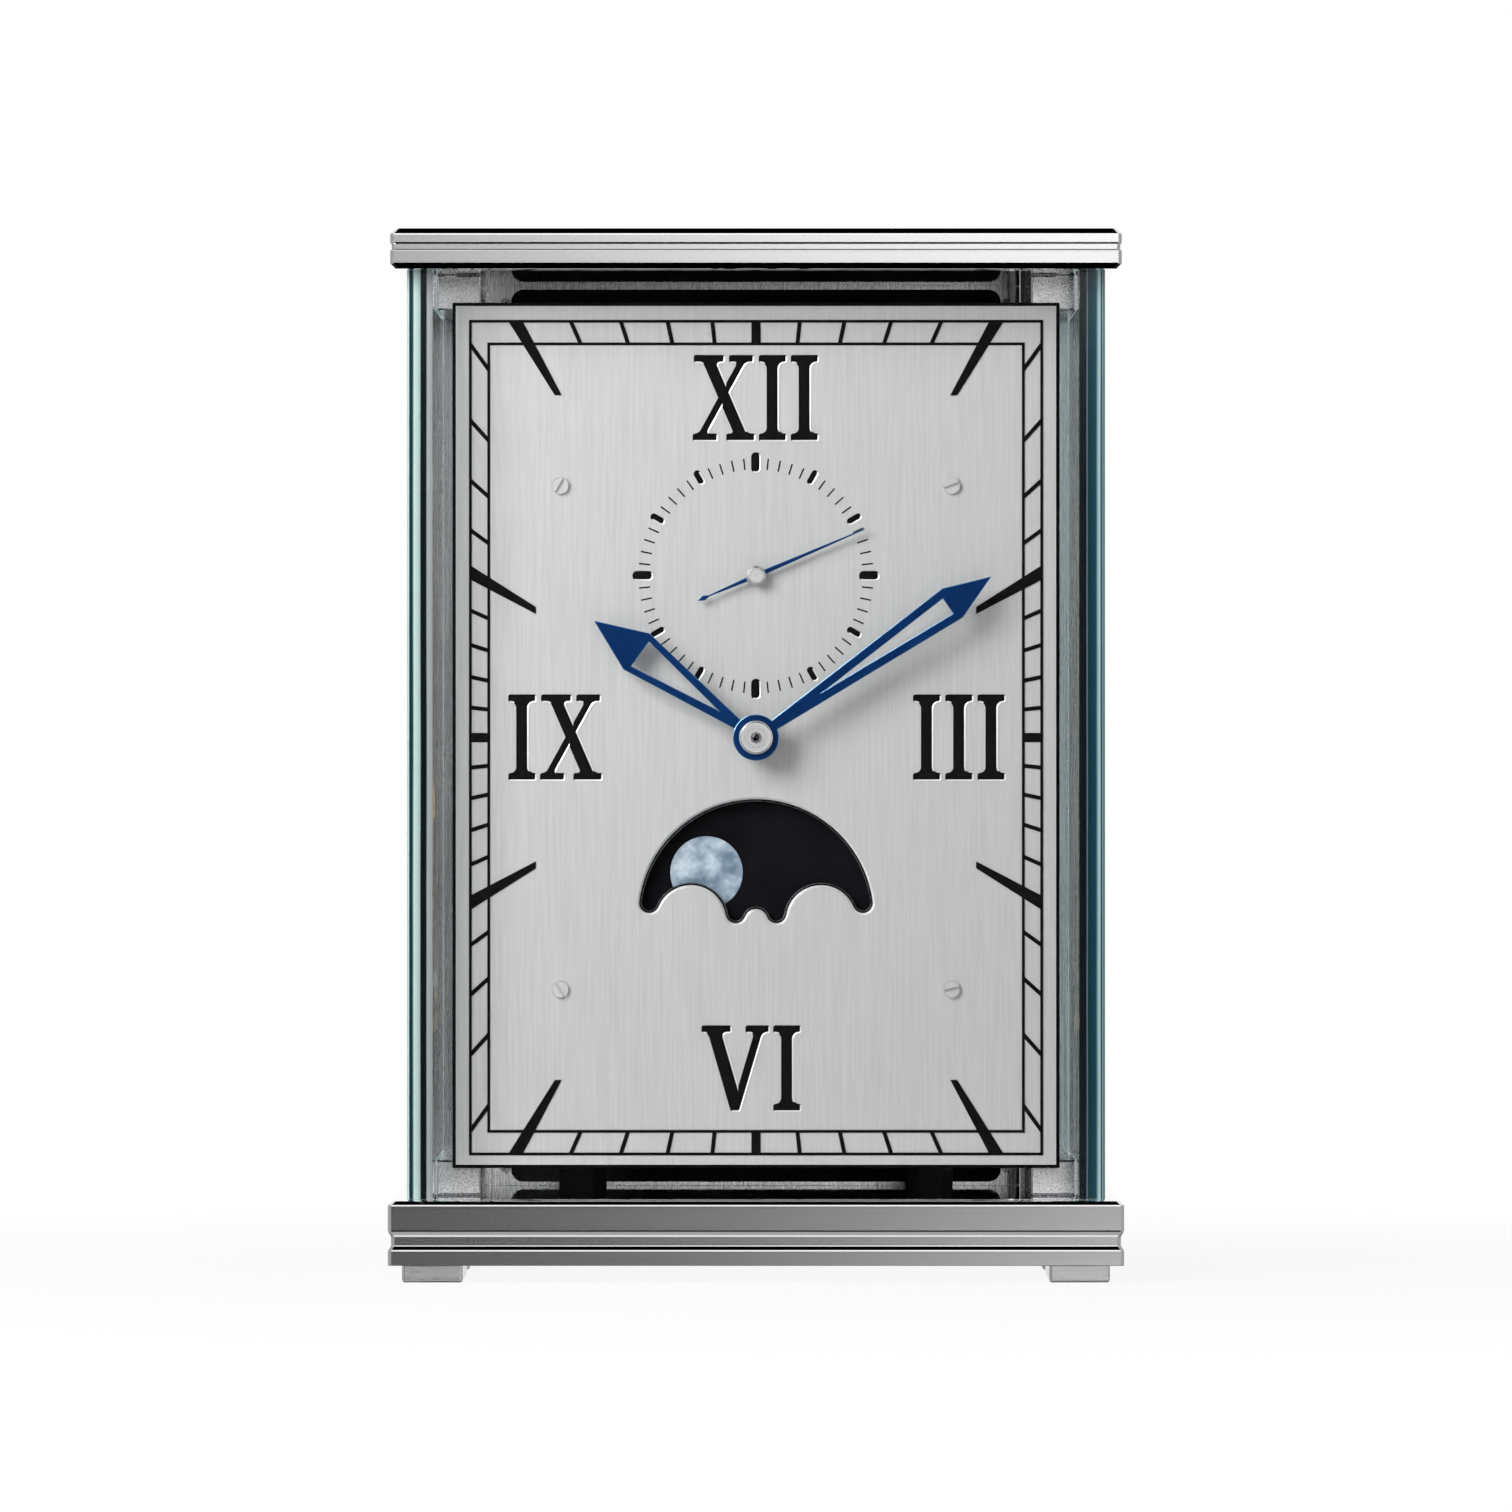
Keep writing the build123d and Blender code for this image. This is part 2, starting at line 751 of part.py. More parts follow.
def ray(angle, start, end, start_width, end_width):
    """A straight mark that points at the middle of the dial."""
    half_start = start_width / 2
    half_end = end_width / 2
    with BuildSketch() as mark:
        Polygon((-half_start, start), (half_start, start), (half_end, end), (-half_end, end), align=None)
    return mark.sketch.rotate(Axis.Z, -angle)


with BuildPart() as dial_track:
    with BuildSketch(layer(dial_front_y)) as track:
        with BuildSketch(mode=Mode.PRIVATE) as hour_marks:
            for hour in range(12):
                angle = hour * 30
                outer = edge_distance(angle, track_half_width, track_half_height)
                if hour % 3:
                    inner = edge_distance(angle, wedge_half_width, wedge_half_height)
                    add(ray(angle, inner - cut_over, outer + cut_over, wedge_inner, wedge_outer))
            Rectangle(2 * track_half_width, 2 * track_half_height, mode=Mode.INTERSECT)
            Rectangle(2 * wedge_half_width, 2 * wedge_half_height, mode=Mode.SUBTRACT)
        with BuildSketch(mode=Mode.PRIVATE) as minute_marks:
            for minute in range(60):
                angle = minute * 6
                outer = edge_distance(angle, track_half_width, track_half_height)
                inner = edge_distance(angle, inner_half_width, inner_half_height)
                width = tick_width if minute % 15 else quarter_width
                if minute % 5 or minute % 15 == 0:
                    add(ray(angle, inner - cut_over, outer + cut_over, width, width))
            Rectangle(2 * track_half_width, 2 * track_half_height, mode=Mode.INTERSECT)
            Rectangle(2 * inner_half_width, 2 * inner_half_height, mode=Mode.SUBTRACT)
        with Locations(centre):
            Rectangle(2 * track_half_width + track_line, 2 * track_half_height + track_line)
            Rectangle(
                2 * track_half_width - track_line, 2 * track_half_height - track_line, mode=Mode.SUBTRACT
            )
            add(minute_marks.sketch)
            add(hour_marks.sketch)
            Rectangle(2 * inner_half_width + track_line, 2 * inner_half_height + track_line)
            Rectangle(
                2 * inner_half_width - track_line, 2 * inner_half_height - track_line, mode=Mode.SUBTRACT
            )
            add(hour_marks.sketch)
    extrude(amount=mark_thickness)
save(dial_track, "dial_track")


# Roman numerals: slanted or upright strokes with flat serifs

def letter(stroke_shares, top_shares, bottom_shares):
    """One letter, centred on its own height."""
    half_height = (numeral_height - serif_thickness) / 2
    with BuildSketch() as form:
        for top_share, bottom_share, width_share in stroke_shares:
            top = top_share * numeral_height
            bottom = bottom_share * numeral_height
            half = width_share * numeral_height / 2
            Polygon(
                (top - half, half_height),
                (bottom - half, -half_height),
                (bottom + half, -half_height),
                (top + half, half_height),
                align=None,
            )
        for level, serif_shares in ((half_height, top_shares), (-half_height, bottom_shares)):
            for middle_share, length_share in serif_shares:
                with Locations((middle_share * numeral_height, level)):
                    Rectangle(length_share * numeral_height, serif_thickness)
    return form.sketch


stem_letter = letter(stem_shares, stem_serif_shares, stem_serif_shares)
cross_letter = letter(cross_shares, cross_top_shares, cross_bottom_shares)
vee_letter = letter(vee_shares, vee_top_shares, [])

with BuildPart() as dial_numerals:
    with BuildSketch(layer(dial_front_y)):
        with Locations(polar(centre, inner_half_height - numeral_top_margin, 90)):
            with Locations((twelve_shares[0] * numeral_height, 0)):
                add(cross_letter)
            for share in twelve_shares[1:]:
                with Locations((share * numeral_height, 0)):
                    add(stem_letter)
        with Locations(polar(centre, inner_half_width - numeral_side_margin, 0)):
            with Locations((-stem_pitch, 0), (0, 0), (stem_pitch, 0)):
                add(stem_letter)
        with Locations(polar(centre, inner_half_height - numeral_bottom_margin, -90)):
            with Locations((six_shares[0] * numeral_height, 0)):
                add(vee_letter)
            with Locations((six_shares[1] * numeral_height, 0)):
                add(stem_letter)
        with Locations(polar(centre, inner_half_width - numeral_side_margin, 180)):
            with Locations((nine_shares[0] * numeral_height, 0)):
                add(stem_letter)
            with Locations((nine_shares[1] * numeral_height, 0)):
                add(cross_letter)
    extrude(amount=mark_thickness)
save(dial_numerals, "dial_numerals")


# Seconds circle: a bar at each five seconds and a broad bar at each quarter

with BuildPart() as seconds_track:
    with BuildSketch(layer(dial_front_y)):
        for mark in range(12):
            angle = 90 - mark * 30
            inner = seconds_bar_inner if mark % 3 else seconds_quarter_inner
            outer = seconds_bar_outer if mark % 3 else seconds_quarter_outer
            width = seconds_bar_width if mark % 3 else seconds_quarter_width
            with Locations(polar(seconds_centre, (inner + outer) / 2, angle)):
                Rectangle(outer - inner, width, rotation=angle)
    extrude(amount=mark_thickness)
save(seconds_track, "seconds_track")


# Movement plates, with a hole for every arbor, and what holds them together

third_centre = meeting_point(
    centre, mesh_distance(going_module, centre_teeth, train_leaves),
    seconds_centre, mesh_distance(going_module, third_teeth, train_leaves), 1,
)
barrel_centre = polar(centre, mesh_distance(barrel_module, barrel_teeth, train_leaves), barrel_angle)
escape_centre = polar(seconds_centre, mesh_distance(going_module, fourth_teeth, escape_leaves), escape_angle)
lever_centre = polar(escape_centre, lever_distance, lever_angle)
balance_centre = polar(lever_centre, balance_distance, balance_angle)
minute_wheel_centre = polar(
    centre, mesh_distance(motion_module, minute_teeth, cannon_leaves), minute_wheel_angle
)
moon_one_centre = polar(
    minute_wheel_centre, mesh_distance(motion_module, moon_one_teeth, moon_leaves), moon_one_angle
)
moon_two_centre = meeting_point(
    moon_one_centre, mesh_distance(motion_module, moon_two_teeth, moon_leaves),
    moon_centre, mesh_distance(motion_module, moon_teeth, moon_leaves), 1,
)
fine_pivots = [third_centre, escape_centre, lever_centre, balance_centre]

with BuildPart() as front_plate:
    with BuildSketch(layer(plate_inner_y)):
        with Locations(centre):
            RectangleRounded(plate_width, plate_height, plate_corner)
            fine_hole(centre_arbor_radius + running_gap)
        with Locations(barrel_centre):
            fine_hole(winding_arbor_radius + running_gap)
        with Locations(seconds_centre):
            fine_hole(thin_arbor_radius + running_gap)
        with Locations(fine_pivots):
            fine_hole(arbor_pivot_radius + running_gap)
    extrude(amount=plate_thickness)
save(front_plate, "front_plate")

with BuildPart() as rear_plate:
    with BuildSketch(layer(rear_plate_back_y)):
        with Locations(centre):
            RectangleRounded(plate_width, plate_height, plate_corner)
            fine_hole(arbor_pivot_radius + running_gap)
        with Locations(barrel_centre):
            fine_hole(winding_arbor_radius + running_gap)
        with Locations(seconds_centre):
            fine_hole(arbor_pivot_radius + running_gap)
        with Locations(fine_pivots):
            fine_hole(arbor_pivot_radius + running_gap)
    extrude(amount=plate_thickness)
save(rear_plate, "rear_plate")

with BuildPart() as plate_pillars:
    with BuildSketch(layer(rear_plate_y)):
        with Locations(centre):
            with GridLocations(2 * dial_screw_x, 2 * dial_screw_z, 2, 2):
                RegularPolygon(pillar_across / 2, 6, major_radius=False)
    extrude(amount=plate_spacing)
save(plate_pillars, "plate_pillars")

with BuildPart() as pillar_nuts:
    with BuildSketch(layer(rear_plate_back_y + nut_thickness)):
        with Locations(centre):
            with GridLocations(2 * dial_screw_x, 2 * dial_screw_z, 2, 2):
                RegularPolygon(nut_across / 2, 6, major_radius=False)
    extrude(amount=nut_thickness)
save(pillar_nuts, "pillar_nuts")

with BuildPart() as dial_pillars:
    with BuildSketch(layer(plate_front_y)):
        with Locations(centre):
            with GridLocations(2 * dial_screw_x, 2 * dial_screw_z, 2, 2):
                RegularPolygon(dial_pillar_across / 2, 6, major_radius=False)
    extrude(amount=dial_standoff)
save(dial_pillars, "dial_pillars")

seat_top = dial_z - plate_height / 2
seat_middle_y = (plate_front_y + rear_plate_back_y) / 2
seat_depth = rear_plate_back_y - plate_front_y + 2 * seat_overhang
seat_width = plate_width + 2 * seat_side_overhang
seat_post_x = seat_width / 2 - seat_post_side_inset
seat_post_y = seat_depth / 2 - seat_post_end_inset

with BuildPart() as seat_board:
    with BuildSketch(Plane.XY.offset(seat_top - seat_thickness)):
        with Locations((0, seat_middle_y)):
            Rectangle(seat_width, seat_depth)
    extrude(amount=seat_thickness)
save(seat_board, "seat_board")

with BuildPart() as seat_posts:
    with BuildSketch(Plane.XY.offset(base_top)):
        with Locations((0, seat_middle_y)):
            with GridLocations(2 * seat_post_x, 2 * seat_post_y, 2, 2):
                RegularPolygon(seat_post_across / 2, 6, major_radius=False)
    extrude(amount=seat_top - seat_thickness - base_top)
save(seat_posts, "seat_posts")


# Layers in front of the front plate, counted from it towards the dial

minute_layer = plate_front_y - minute_wheel_standoff
minute_pinion_layer = minute_layer - wheel_thickness
hour_layer = minute_pinion_layer - hour_wheel_gap
moon_drive_layer = hour_layer - moon_drive_gap
moon_one_layer = moon_drive_layer - moon_one_gap
moon_two_layer = plate_front_y - moon_two_standoff
moon_layer = plate_front_y - moon_wheel_standoff
stud_front_y = moon_one_layer - moon_wheel_thickness - side_gap
moon_stud_front_y = moon_front_y + side_gap

with BuildPart() as motion_studs:
    turned(minute_wheel_centre, stud_radius, plate_front_y, stud_front_y)
    turned(moon_one_centre, thin_stud_radius, plate_front_y, stud_front_y)
    turned(moon_two_centre, thin_stud_radius, plate_front_y, moon_two_layer - wheel_thickness)
    fine_turned(moon_centre, moon_stud_radius, plate_front_y, moon_stud_front_y)
save(motion_studs, "motion_studs")


# Layers between the plates

fourth_layer = plate_inner_y + fourth_wheel_depth
third_layer = plate_inner_y + third_wheel_share * plate_spacing
escape_layer = rear_plate_y - escape_wheel_gap
barrel_back_y = rear_plate_y - barrel_gap
balance_layer = rear_plate_y - balance_gap
centre_layer = rear_plate_y - centre_wheel_gap


# Centre arbor, which carries the minute hand: wheel, pinion, cannon pinion, hand and cap

centre_turn = 0
barrel_turn = 0
centre_pinion_turn = mesh_turn(barrel_turn, barrel_teeth, train_leaves, bearing(barrel_centre, centre))
minute_hand_front_y = minute_hand_y - hand_thickness
cap_front_y = minute_hand_front_y - cap_thickness
centre_pinion_back_y = centre_layer - wheel_thickness
centre_pinion_front_y = barrel_back_y - centre_pinion_overlap

with BuildPart() as centre_arbor:
    fine_turned(centre, arbor_pivot_radius, rear_plate_back_y, rear_plate_y - running_gap)
    fine_turned(centre, arbor_radius, rear_plate_y - running_gap, plate_inner_y + running_gap)
    turned(centre, centre_arbor_radius, plate_inner_y + running_gap, cap_front_y)
    turned(centre, pin_radius, cap_front_y, cap_front_y - pin_rise)
    pressed(
        pinion_outline(train_leaves, barrel_module), centre, centre_pinion_turn,
        centre_pinion_back_y, centre_pinion_front_y,
    )
save(centre_arbor, "centre_arbor")

with BuildPart() as centre_wheel:
    pressed(
        wheel_outline(centre_teeth, going_module), centre, centre_turn,
        centre_layer, centre_layer - wheel_thickness,
    )
    fine_turned(centre, arbor_radius + fit_gap, centre_layer, centre_layer - wheel_thickness, Mode.SUBTRACT)
save(centre_wheel, "centre_wheel")

cannon_turn = 0

with BuildPart() as cannon_pinion:
    pressed(
        pinion_outline(cannon_leaves, motion_module), centre, cannon_turn,
        plate_front_y - side_gap, minute_pinion_layer - side_gap,
    )
    turned(centre, cannon_radius, minute_pinion_layer - side_gap, minute_hand_front_y)
    fine_turned(centre, centre_arbor_radius + fit_gap, plate_front_y, minute_hand_front_y, Mode.SUBTRACT)
save(cannon_pinion, "cannon_pinion")


def lozenge_hand(length, tip, half_width, slot_start, slot_margin, slot_half, bore):
    """A pierced lozenge hand that points up, with a ring at its root."""
    shoulder = length - tip
    slot_end = shoulder - slot_margin
    with BuildSketch() as hand:
        Polygon(
            (-hand_root_half, 0),
            (hand_root_half, 0),
            (hand_root_half, hand_ring),
            (half_width, shoulder),
            (0, length),
            (-half_width, shoulder),
            (-hand_root_half, hand_ring),
            align=None,
        )
        Circle(hand_ring)
        Polygon(
            (0, slot_start), (slot_half, slot_end), (-slot_half, slot_end),
            align=None, mode=Mode.SUBTRACT,
        )
        fine_hole(bore)
    return hand.sketch


with BuildPart() as minute_hand:
    pressed(
        lozenge_hand(
            minute_length, minute_tip, minute_half_width,
            minute_slot_start, minute_slot_margin, minute_slot_half, cannon_radius + fit_gap,
        ),
        centre, -minute_angle, minute_hand_y, minute_hand_front_y,
    )
save(minute_hand, "minute_hand")

with BuildPart() as hand_cap:
    turned(centre, cap_radius, minute_hand_front_y, cap_front_y)
    chamfer(hand_cap.edges().group_by(Axis.Y)[0], cap_chamfer)
    fine_turned(centre, centre_arbor_radius + fit_gap, minute_hand_front_y, cap_front_y, Mode.SUBTRACT)
save(hand_cap, "hand_cap")


# Motion work: minute wheel and hour wheel, with the hour hand

minute_wheel_turn = mesh_turn(cannon_turn, cannon_leaves, minute_teeth, bearing(centre, minute_wheel_centre))
hour_turn = mesh_turn(0, minute_leaves, hour_teeth, bearing(minute_wheel_centre, centre))
hour_hand_front_y = hour_hand_y - hand_thickness

with BuildPart() as minute_wheel:
    pressed(
        wheel_outline(minute_teeth, motion_module), minute_wheel_centre, minute_wheel_turn,
        minute_layer, minute_pinion_layer,
    )
    pressed(
        pinion_outline(minute_leaves, motion_module), minute_wheel_centre, 0,
        minute_pinion_layer, moon_drive_layer,
    )
    pressed(
        pinion_outline(moon_leaves, motion_module), minute_wheel_centre, 0,
        moon_drive_layer, stud_front_y + side_gap,
    )
    fine_turned(minute_wheel_centre, stud_radius + running_gap, minute_layer, stud_front_y, Mode.SUBTRACT)
save(minute_wheel, "minute_wheel")

with BuildPart() as hour_wheel:
    pressed(
        wheel_outline(hour_teeth, motion_module), centre, hour_turn,
        hour_layer, hour_layer - wheel_thickness,
    )
    turned(centre, hour_pipe_radius, hour_layer - wheel_thickness, hour_hand_front_y)
    fine_turned(centre, cannon_radius + running_gap, hour_layer, hour_hand_front_y, Mode.SUBTRACT)
save(hour_wheel, "hour_wheel")

with BuildPart() as hour_hand:
    pressed(
        lozenge_hand(
            hour_length, hour_tip, hour_half_width,
            hour_slot_start, hour_slot_margin, hour_slot_half, hour_pipe_radius + fit_gap,
        ),
        centre, -hour_angle, hour_hand_y, hour_hand_front_y,
    )
save(hour_hand, "hour_hand")


# Moon work: two wheels with pinions bring the minute wheel's turns down to one in 59 days

moon_one_turn = mesh_turn(0, moon_leaves, moon_one_teeth, bearing(minute_wheel_centre, moon_one_centre))
moon_two_turn = mesh_turn(0, moon_leaves, moon_two_teeth, bearing(moon_one_centre, moon_two_centre))
moon_turn = mesh_turn(0, moon_leaves, moon_teeth, bearing(moon_two_centre, moon_centre))

with BuildPart() as moon_wheel_one:
    pressed(
        wheel_outline(moon_one_teeth, motion_module), moon_one_centre, moon_one_turn,
        moon_one_layer, moon_one_layer - moon_wheel_thickness,
    )
    pressed(
        pinion_outline(moon_leaves, motion_module), moon_one_centre, 0,
        moon_two_layer + side_gap, moon_one_layer,
    )
    fine_turned(
        moon_one_centre, thin_stud_radius + running_gap,
        moon_two_layer + side_gap, moon_one_layer - moon_wheel_thickness, Mode.SUBTRACT,
    )
save(moon_wheel_one, "moon_wheel_one")

with BuildPart() as moon_wheel_two:
    pressed(
        wheel_outline(moon_two_teeth, motion_module), moon_two_centre, moon_two_turn,
        moon_two_layer, moon_two_layer - moon_wheel_thickness,
    )
    pressed(
        pinion_outline(moon_leaves, motion_module), moon_two_centre, 0,
        moon_layer + side_gap, moon_two_layer,
    )
    fine_turned(
        moon_two_centre, thin_stud_radius + running_gap,
        moon_layer + side_gap, moon_two_layer - moon_wheel_thickness, Mode.SUBTRACT,
    )
save(moon_wheel_two, "moon_wheel_two")

with BuildPart() as moon_wheel:
    pressed(
        wheel_outline(moon_teeth, motion_module), moon_centre, moon_turn,
        moon_layer, moon_layer - moon_wheel_thickness,
    )
    turned(moon_centre, moon_hub_radius, moon_layer - moon_wheel_thickness, moon_back_y)
    fine_turned(moon_centre, moon_stud_radius + running_gap, moon_layer, moon_back_y, Mode.SUBTRACT)
save(moon_wheel, "moon_wheel")

with BuildPart() as moon_disc:
    turned(moon_centre, moon_disc_radius, moon_back_y, moon_front_y)
    fine_turned(moon_centre, moon_stud_radius + running_gap, moon_back_y, moon_front_y, Mode.SUBTRACT)
save(moon_disc, "moon_disc")

with BuildPart() as moon_faces:
    for angle in (moon_angle, moon_angle + 180):
        turned(
            polar(moon_centre, moon_orbit_radius, angle), moon_radius,
            moon_front_y, moon_front_y - moon_face_thickness,
        )
save(moon_faces, "moon_faces")


# Third arbor and seconds arbor, with the seconds hand

third_pinion_turn = mesh_turn(centre_turn, centre_teeth, train_leaves, bearing(centre, third_centre))
third_turn = 0
seconds_pinion_turn = mesh_turn(third_turn, third_teeth, train_leaves, bearing(third_centre, seconds_centre))
fourth_turn = 0
seconds_hand_front_y = seconds_hand_y - seconds_thickness


def between_plates(at, radius):
    """An arbor with a fine pivot in each plate."""
    fine_turned(at, arbor_pivot_radius, rear_plate_back_y, rear_plate_y - running_gap)
    fine_turned(at, radius, rear_plate_y - running_gap, plate_inner_y + running_gap)
    turned(at, arbor_pivot_radius, plate_inner_y + running_gap, plate_front_y)


with BuildPart() as third_wheel:
    between_plates(third_centre, arbor_radius)
    pressed(
        wheel_outline(third_teeth, going_module), third_centre, third_turn,
        third_layer, third_layer - wheel_thickness,
    )
    pressed(
        pinion_outline(train_leaves, going_module), third_centre, third_pinion_turn,
        centre_layer + train_pinion_overlap, centre_layer - wheel_thickness - train_pinion_overlap,
    )
save(third_wheel, "third_wheel")

with BuildPart() as seconds_arbor:
    fine_turned(seconds_centre, arbor_pivot_radius, rear_plate_back_y, rear_plate_y - running_gap)
    fine_turned(seconds_centre, arbor_radius, rear_plate_y - running_gap, plate_inner_y + running_gap)
    fine_turned(seconds_centre, thin_arbor_radius, plate_inner_y + running_gap, seconds_hand_front_y)
    pressed(
        wheel_outline(fourth_teeth, going_module), seconds_centre, fourth_turn,
        fourth_layer, fourth_layer - wheel_thickness,
    )
    pressed(
        pinion_outline(train_leaves, going_module), seconds_centre, seconds_pinion_turn,
        third_layer + train_pinion_overlap, third_layer - wheel_thickness - train_pinion_overlap,
    )
save(seconds_arbor, "seconds_arbor")

with BuildPart() as seconds_hand:
    with BuildSketch() as needle:
        Polygon(
            (-seconds_root_half, 0),
            (seconds_root_half, 0),
            (seconds_tip_half, seconds_length),
            (-seconds_tip_half, seconds_length),
            align=None,
        )
        Polygon(
            (-seconds_root_half, 0),
            (-seconds_tip_half, lozenge_length / 2 - seconds_tail),
            (seconds_tip_half, lozenge_length / 2 - seconds_tail),
            (seconds_root_half, 0),
            align=None,
        )
        Polygon(
            (0, -seconds_tail),
            (lozenge_half, lozenge_length / 2 - seconds_tail),
            (0, lozenge_length - seconds_tail),
            (-lozenge_half, lozenge_length / 2 - seconds_tail),
            align=None,
        )
    pressed(needle.sketch, seconds_centre, -seconds_angle, seconds_hand_y, seconds_hand_front_y)
    turned(seconds_centre, seconds_hub_radius, seconds_hand_y, seconds_hand_y - seconds_hub_length)
    chamfer(seconds_hand.edges().group_by(Axis.Y)[0], seconds_hub_chamfer)
    fine_turned(
        seconds_centre, thin_arbor_radius + fit_gap,
        seconds_hand_y, seconds_hand_front_y, Mode.SUBTRACT,
    )
save(seconds_hand, "seconds_hand")


# Spring barrel, and the arbor that winds it from behind

barrel_front_y = plate_inner_y + barrel_front_gap
square_front_y = rear_plate_back_y + side_gap + ratchet_thickness
square_back_y = lining_front_y - winding_square_gap

with BuildPart() as barrel:
    pressed(
        wheel_outline(barrel_teeth, barrel_module), barrel_centre, barrel_turn,
        barrel_back_y, barrel_back_y - wheel_thickness,
    )
    turned(barrel_centre, barrel_radius, barrel_back_y - wheel_thickness, barrel_front_y)
    fine_turned(
        barrel_centre, winding_arbor_radius + running_gap,
        barrel_back_y, barrel_front_y, Mode.SUBTRACT,
    )
save(barrel, "barrel")

with BuildPart() as winding_arbor:
    turned(barrel_centre, winding_arbor_radius, square_front_y, plate_front_y)
    with BuildSketch(layer(square_back_y)):
        with Locations(barrel_centre):
            Rectangle(winding_square, winding_square)
    extrude(amount=square_back_y - square_front_y)
save(winding_arbor, "winding_arbor")


def saw_wheel(teeth, radius, depth):
    """A wheel with saw teeth: each has a steep side and a long back."""
    points = []
    for tooth in range(teeth):
        points.append(polar((0, 0), radius, tooth * 360 / teeth))
        points.append(polar((0, 0), radius - depth, (tooth + ratchet_face_share) * 360 / teeth))
    with BuildSketch() as saw:
        Polygon(*points, align=None)
    return saw.sketch


with BuildPart() as ratchet_wheel:
    pressed(
        saw_wheel(ratchet_teeth, ratchet_radius, ratchet_depth), barrel_centre, 0,
        square_front_y, square_front_y - ratchet_thickness,
    )
    fine_turned(
        barrel_centre, winding_arbor_radius + fit_gap,
        square_front_y, square_front_y - ratchet_thickness, Mode.SUBTRACT,
    )
save(ratchet_wheel, "ratchet_wheel")

# The click stands just clear of the ratchet wheel, beside it, on its own screw

click_reach = click_length - click_width / 2
click_centre = (
    barrel_centre[0] + ratchet_radius + click_gap + click_width / 2,
    barrel_centre[1] + click_reach,
)
click_back_y = rear_plate_back_y + running_gap + click_thickness

with BuildPart() as click:
    with BuildSketch(layer(click_back_y)):
        with Locations(click_centre):
            Circle(click_boss)
            with Locations((0, -click_reach / 2)):
                Rectangle(click_width, click_reach)
            with Locations((0, -click_reach)):
                Circle(click_width / 2)
            fine_hole(click_pin_radius + running_gap)
    extrude(amount=click_thickness)
save(click, "click")

with BuildPart() as click_screw:
    fine_turned(click_centre, click_pin_radius, click_back_y + running_gap, rear_plate_back_y)
    with BuildSketch(layer(click_back_y + running_gap + click_head_thickness)):
        with Locations(click_centre):
            RegularPolygon(click_head_radius, head_sides)
    extrude(amount=click_head_thickness)
save(click_screw, "click_screw")


# Escapement between the plates: escape wheel, pallet lever and balance

escape_pinion_turn = mesh_turn(
    fourth_turn, fourth_teeth, escape_leaves, bearing(seconds_centre, escape_centre)
)

with BuildPart() as escape_wheel:
    between_plates(escape_centre, thin_arbor_radius)
    pressed(
        pinion_outline(escape_leaves, going_module), escape_centre, escape_pinion_turn,
        fourth_layer + train_pinion_overlap, fourth_layer - wheel_thickness - train_pinion_overlap,
    )
    pressed(
        saw_wheel(escape_teeth, escape_radius, escape_tooth_depth), escape_centre, 0,
        escape_layer, escape_layer - escape_thickness,
    )
save(escape_wheel, "escape_wheel")

lever_to_escape = bearing(lever_centre, escape_centre)
pallet_points = [
    polar(escape_centre, escape_radius + pallet_gap + pallet_height / 2, lever_to_escape + 180 + swing)
    for swing in (-pallet_swing, pallet_swing)
]

with BuildPart() as pallet_lever:
    between_plates(lever_centre, thin_arbor_radius)
    with BuildSketch(layer(escape_layer)):
        with Locations(lever_centre):
            Circle(lever_boss)
        for pallet_point in pallet_points:
            reach = math.dist(lever_centre, pallet_point)
            arm_line = bearing(lever_centre, pallet_point)
            with Locations(polar(lever_centre, reach / 2, arm_line)):
                Rectangle(reach, lever_arm, rotation=arm_line)
            with Locations(pallet_point):
                Rectangle(pallet_height, pallet_width, rotation=bearing(escape_centre, pallet_point))
        fork_line = bearing(lever_centre, balance_centre)
        with Locations(polar(lever_centre, fork_length / 2, fork_line)):
            Rectangle(fork_length, lever_arm, rotation=fork_line)
        with Locations(polar(lever_centre, fork_length - fork_width / 2, fork_line)):
            Rectangle(fork_width, fork_width, rotation=fork_line)
        with Locations(polar(lever_centre, fork_length, fork_line)):
            Rectangle(fork_width, fork_notch, rotation=fork_line, mode=Mode.SUBTRACT)
    extrude(amount=lever_thickness)
save(pallet_lever, "pallet_lever")

with BuildPart() as balance_wheel:
    between_plates(balance_centre, thin_arbor_radius)
    turned(balance_centre, roller_radius, escape_layer, escape_layer - roller_thickness)
    with BuildSketch(layer(balance_layer)):
        with Locations(balance_centre):
            Circle(balance_radius)
            Circle(balance_radius - balance_rim, mode=Mode.SUBTRACT)
            Rectangle(2 * balance_radius - balance_rim, balance_arm, rotation=balance_arm_angle)
    extrude(amount=balance_thickness)
save(balance_wheel, "balance_wheel")
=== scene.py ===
# %% [markdown]
# # A glass-sided table clock with a moon dial
#
# The CAD model comes in as a fixed frame: every node is already in its place, in metres, with the
# front of the clock facing -Y and +Z up. This notebook gives each visible surface its finish, and
# replaces the plain marks, hands and screws of the dial with finer pieces of its own.

# %% Load the frame
import json
import math

import bmesh
import bpy
from mathutils import Matrix, Vector


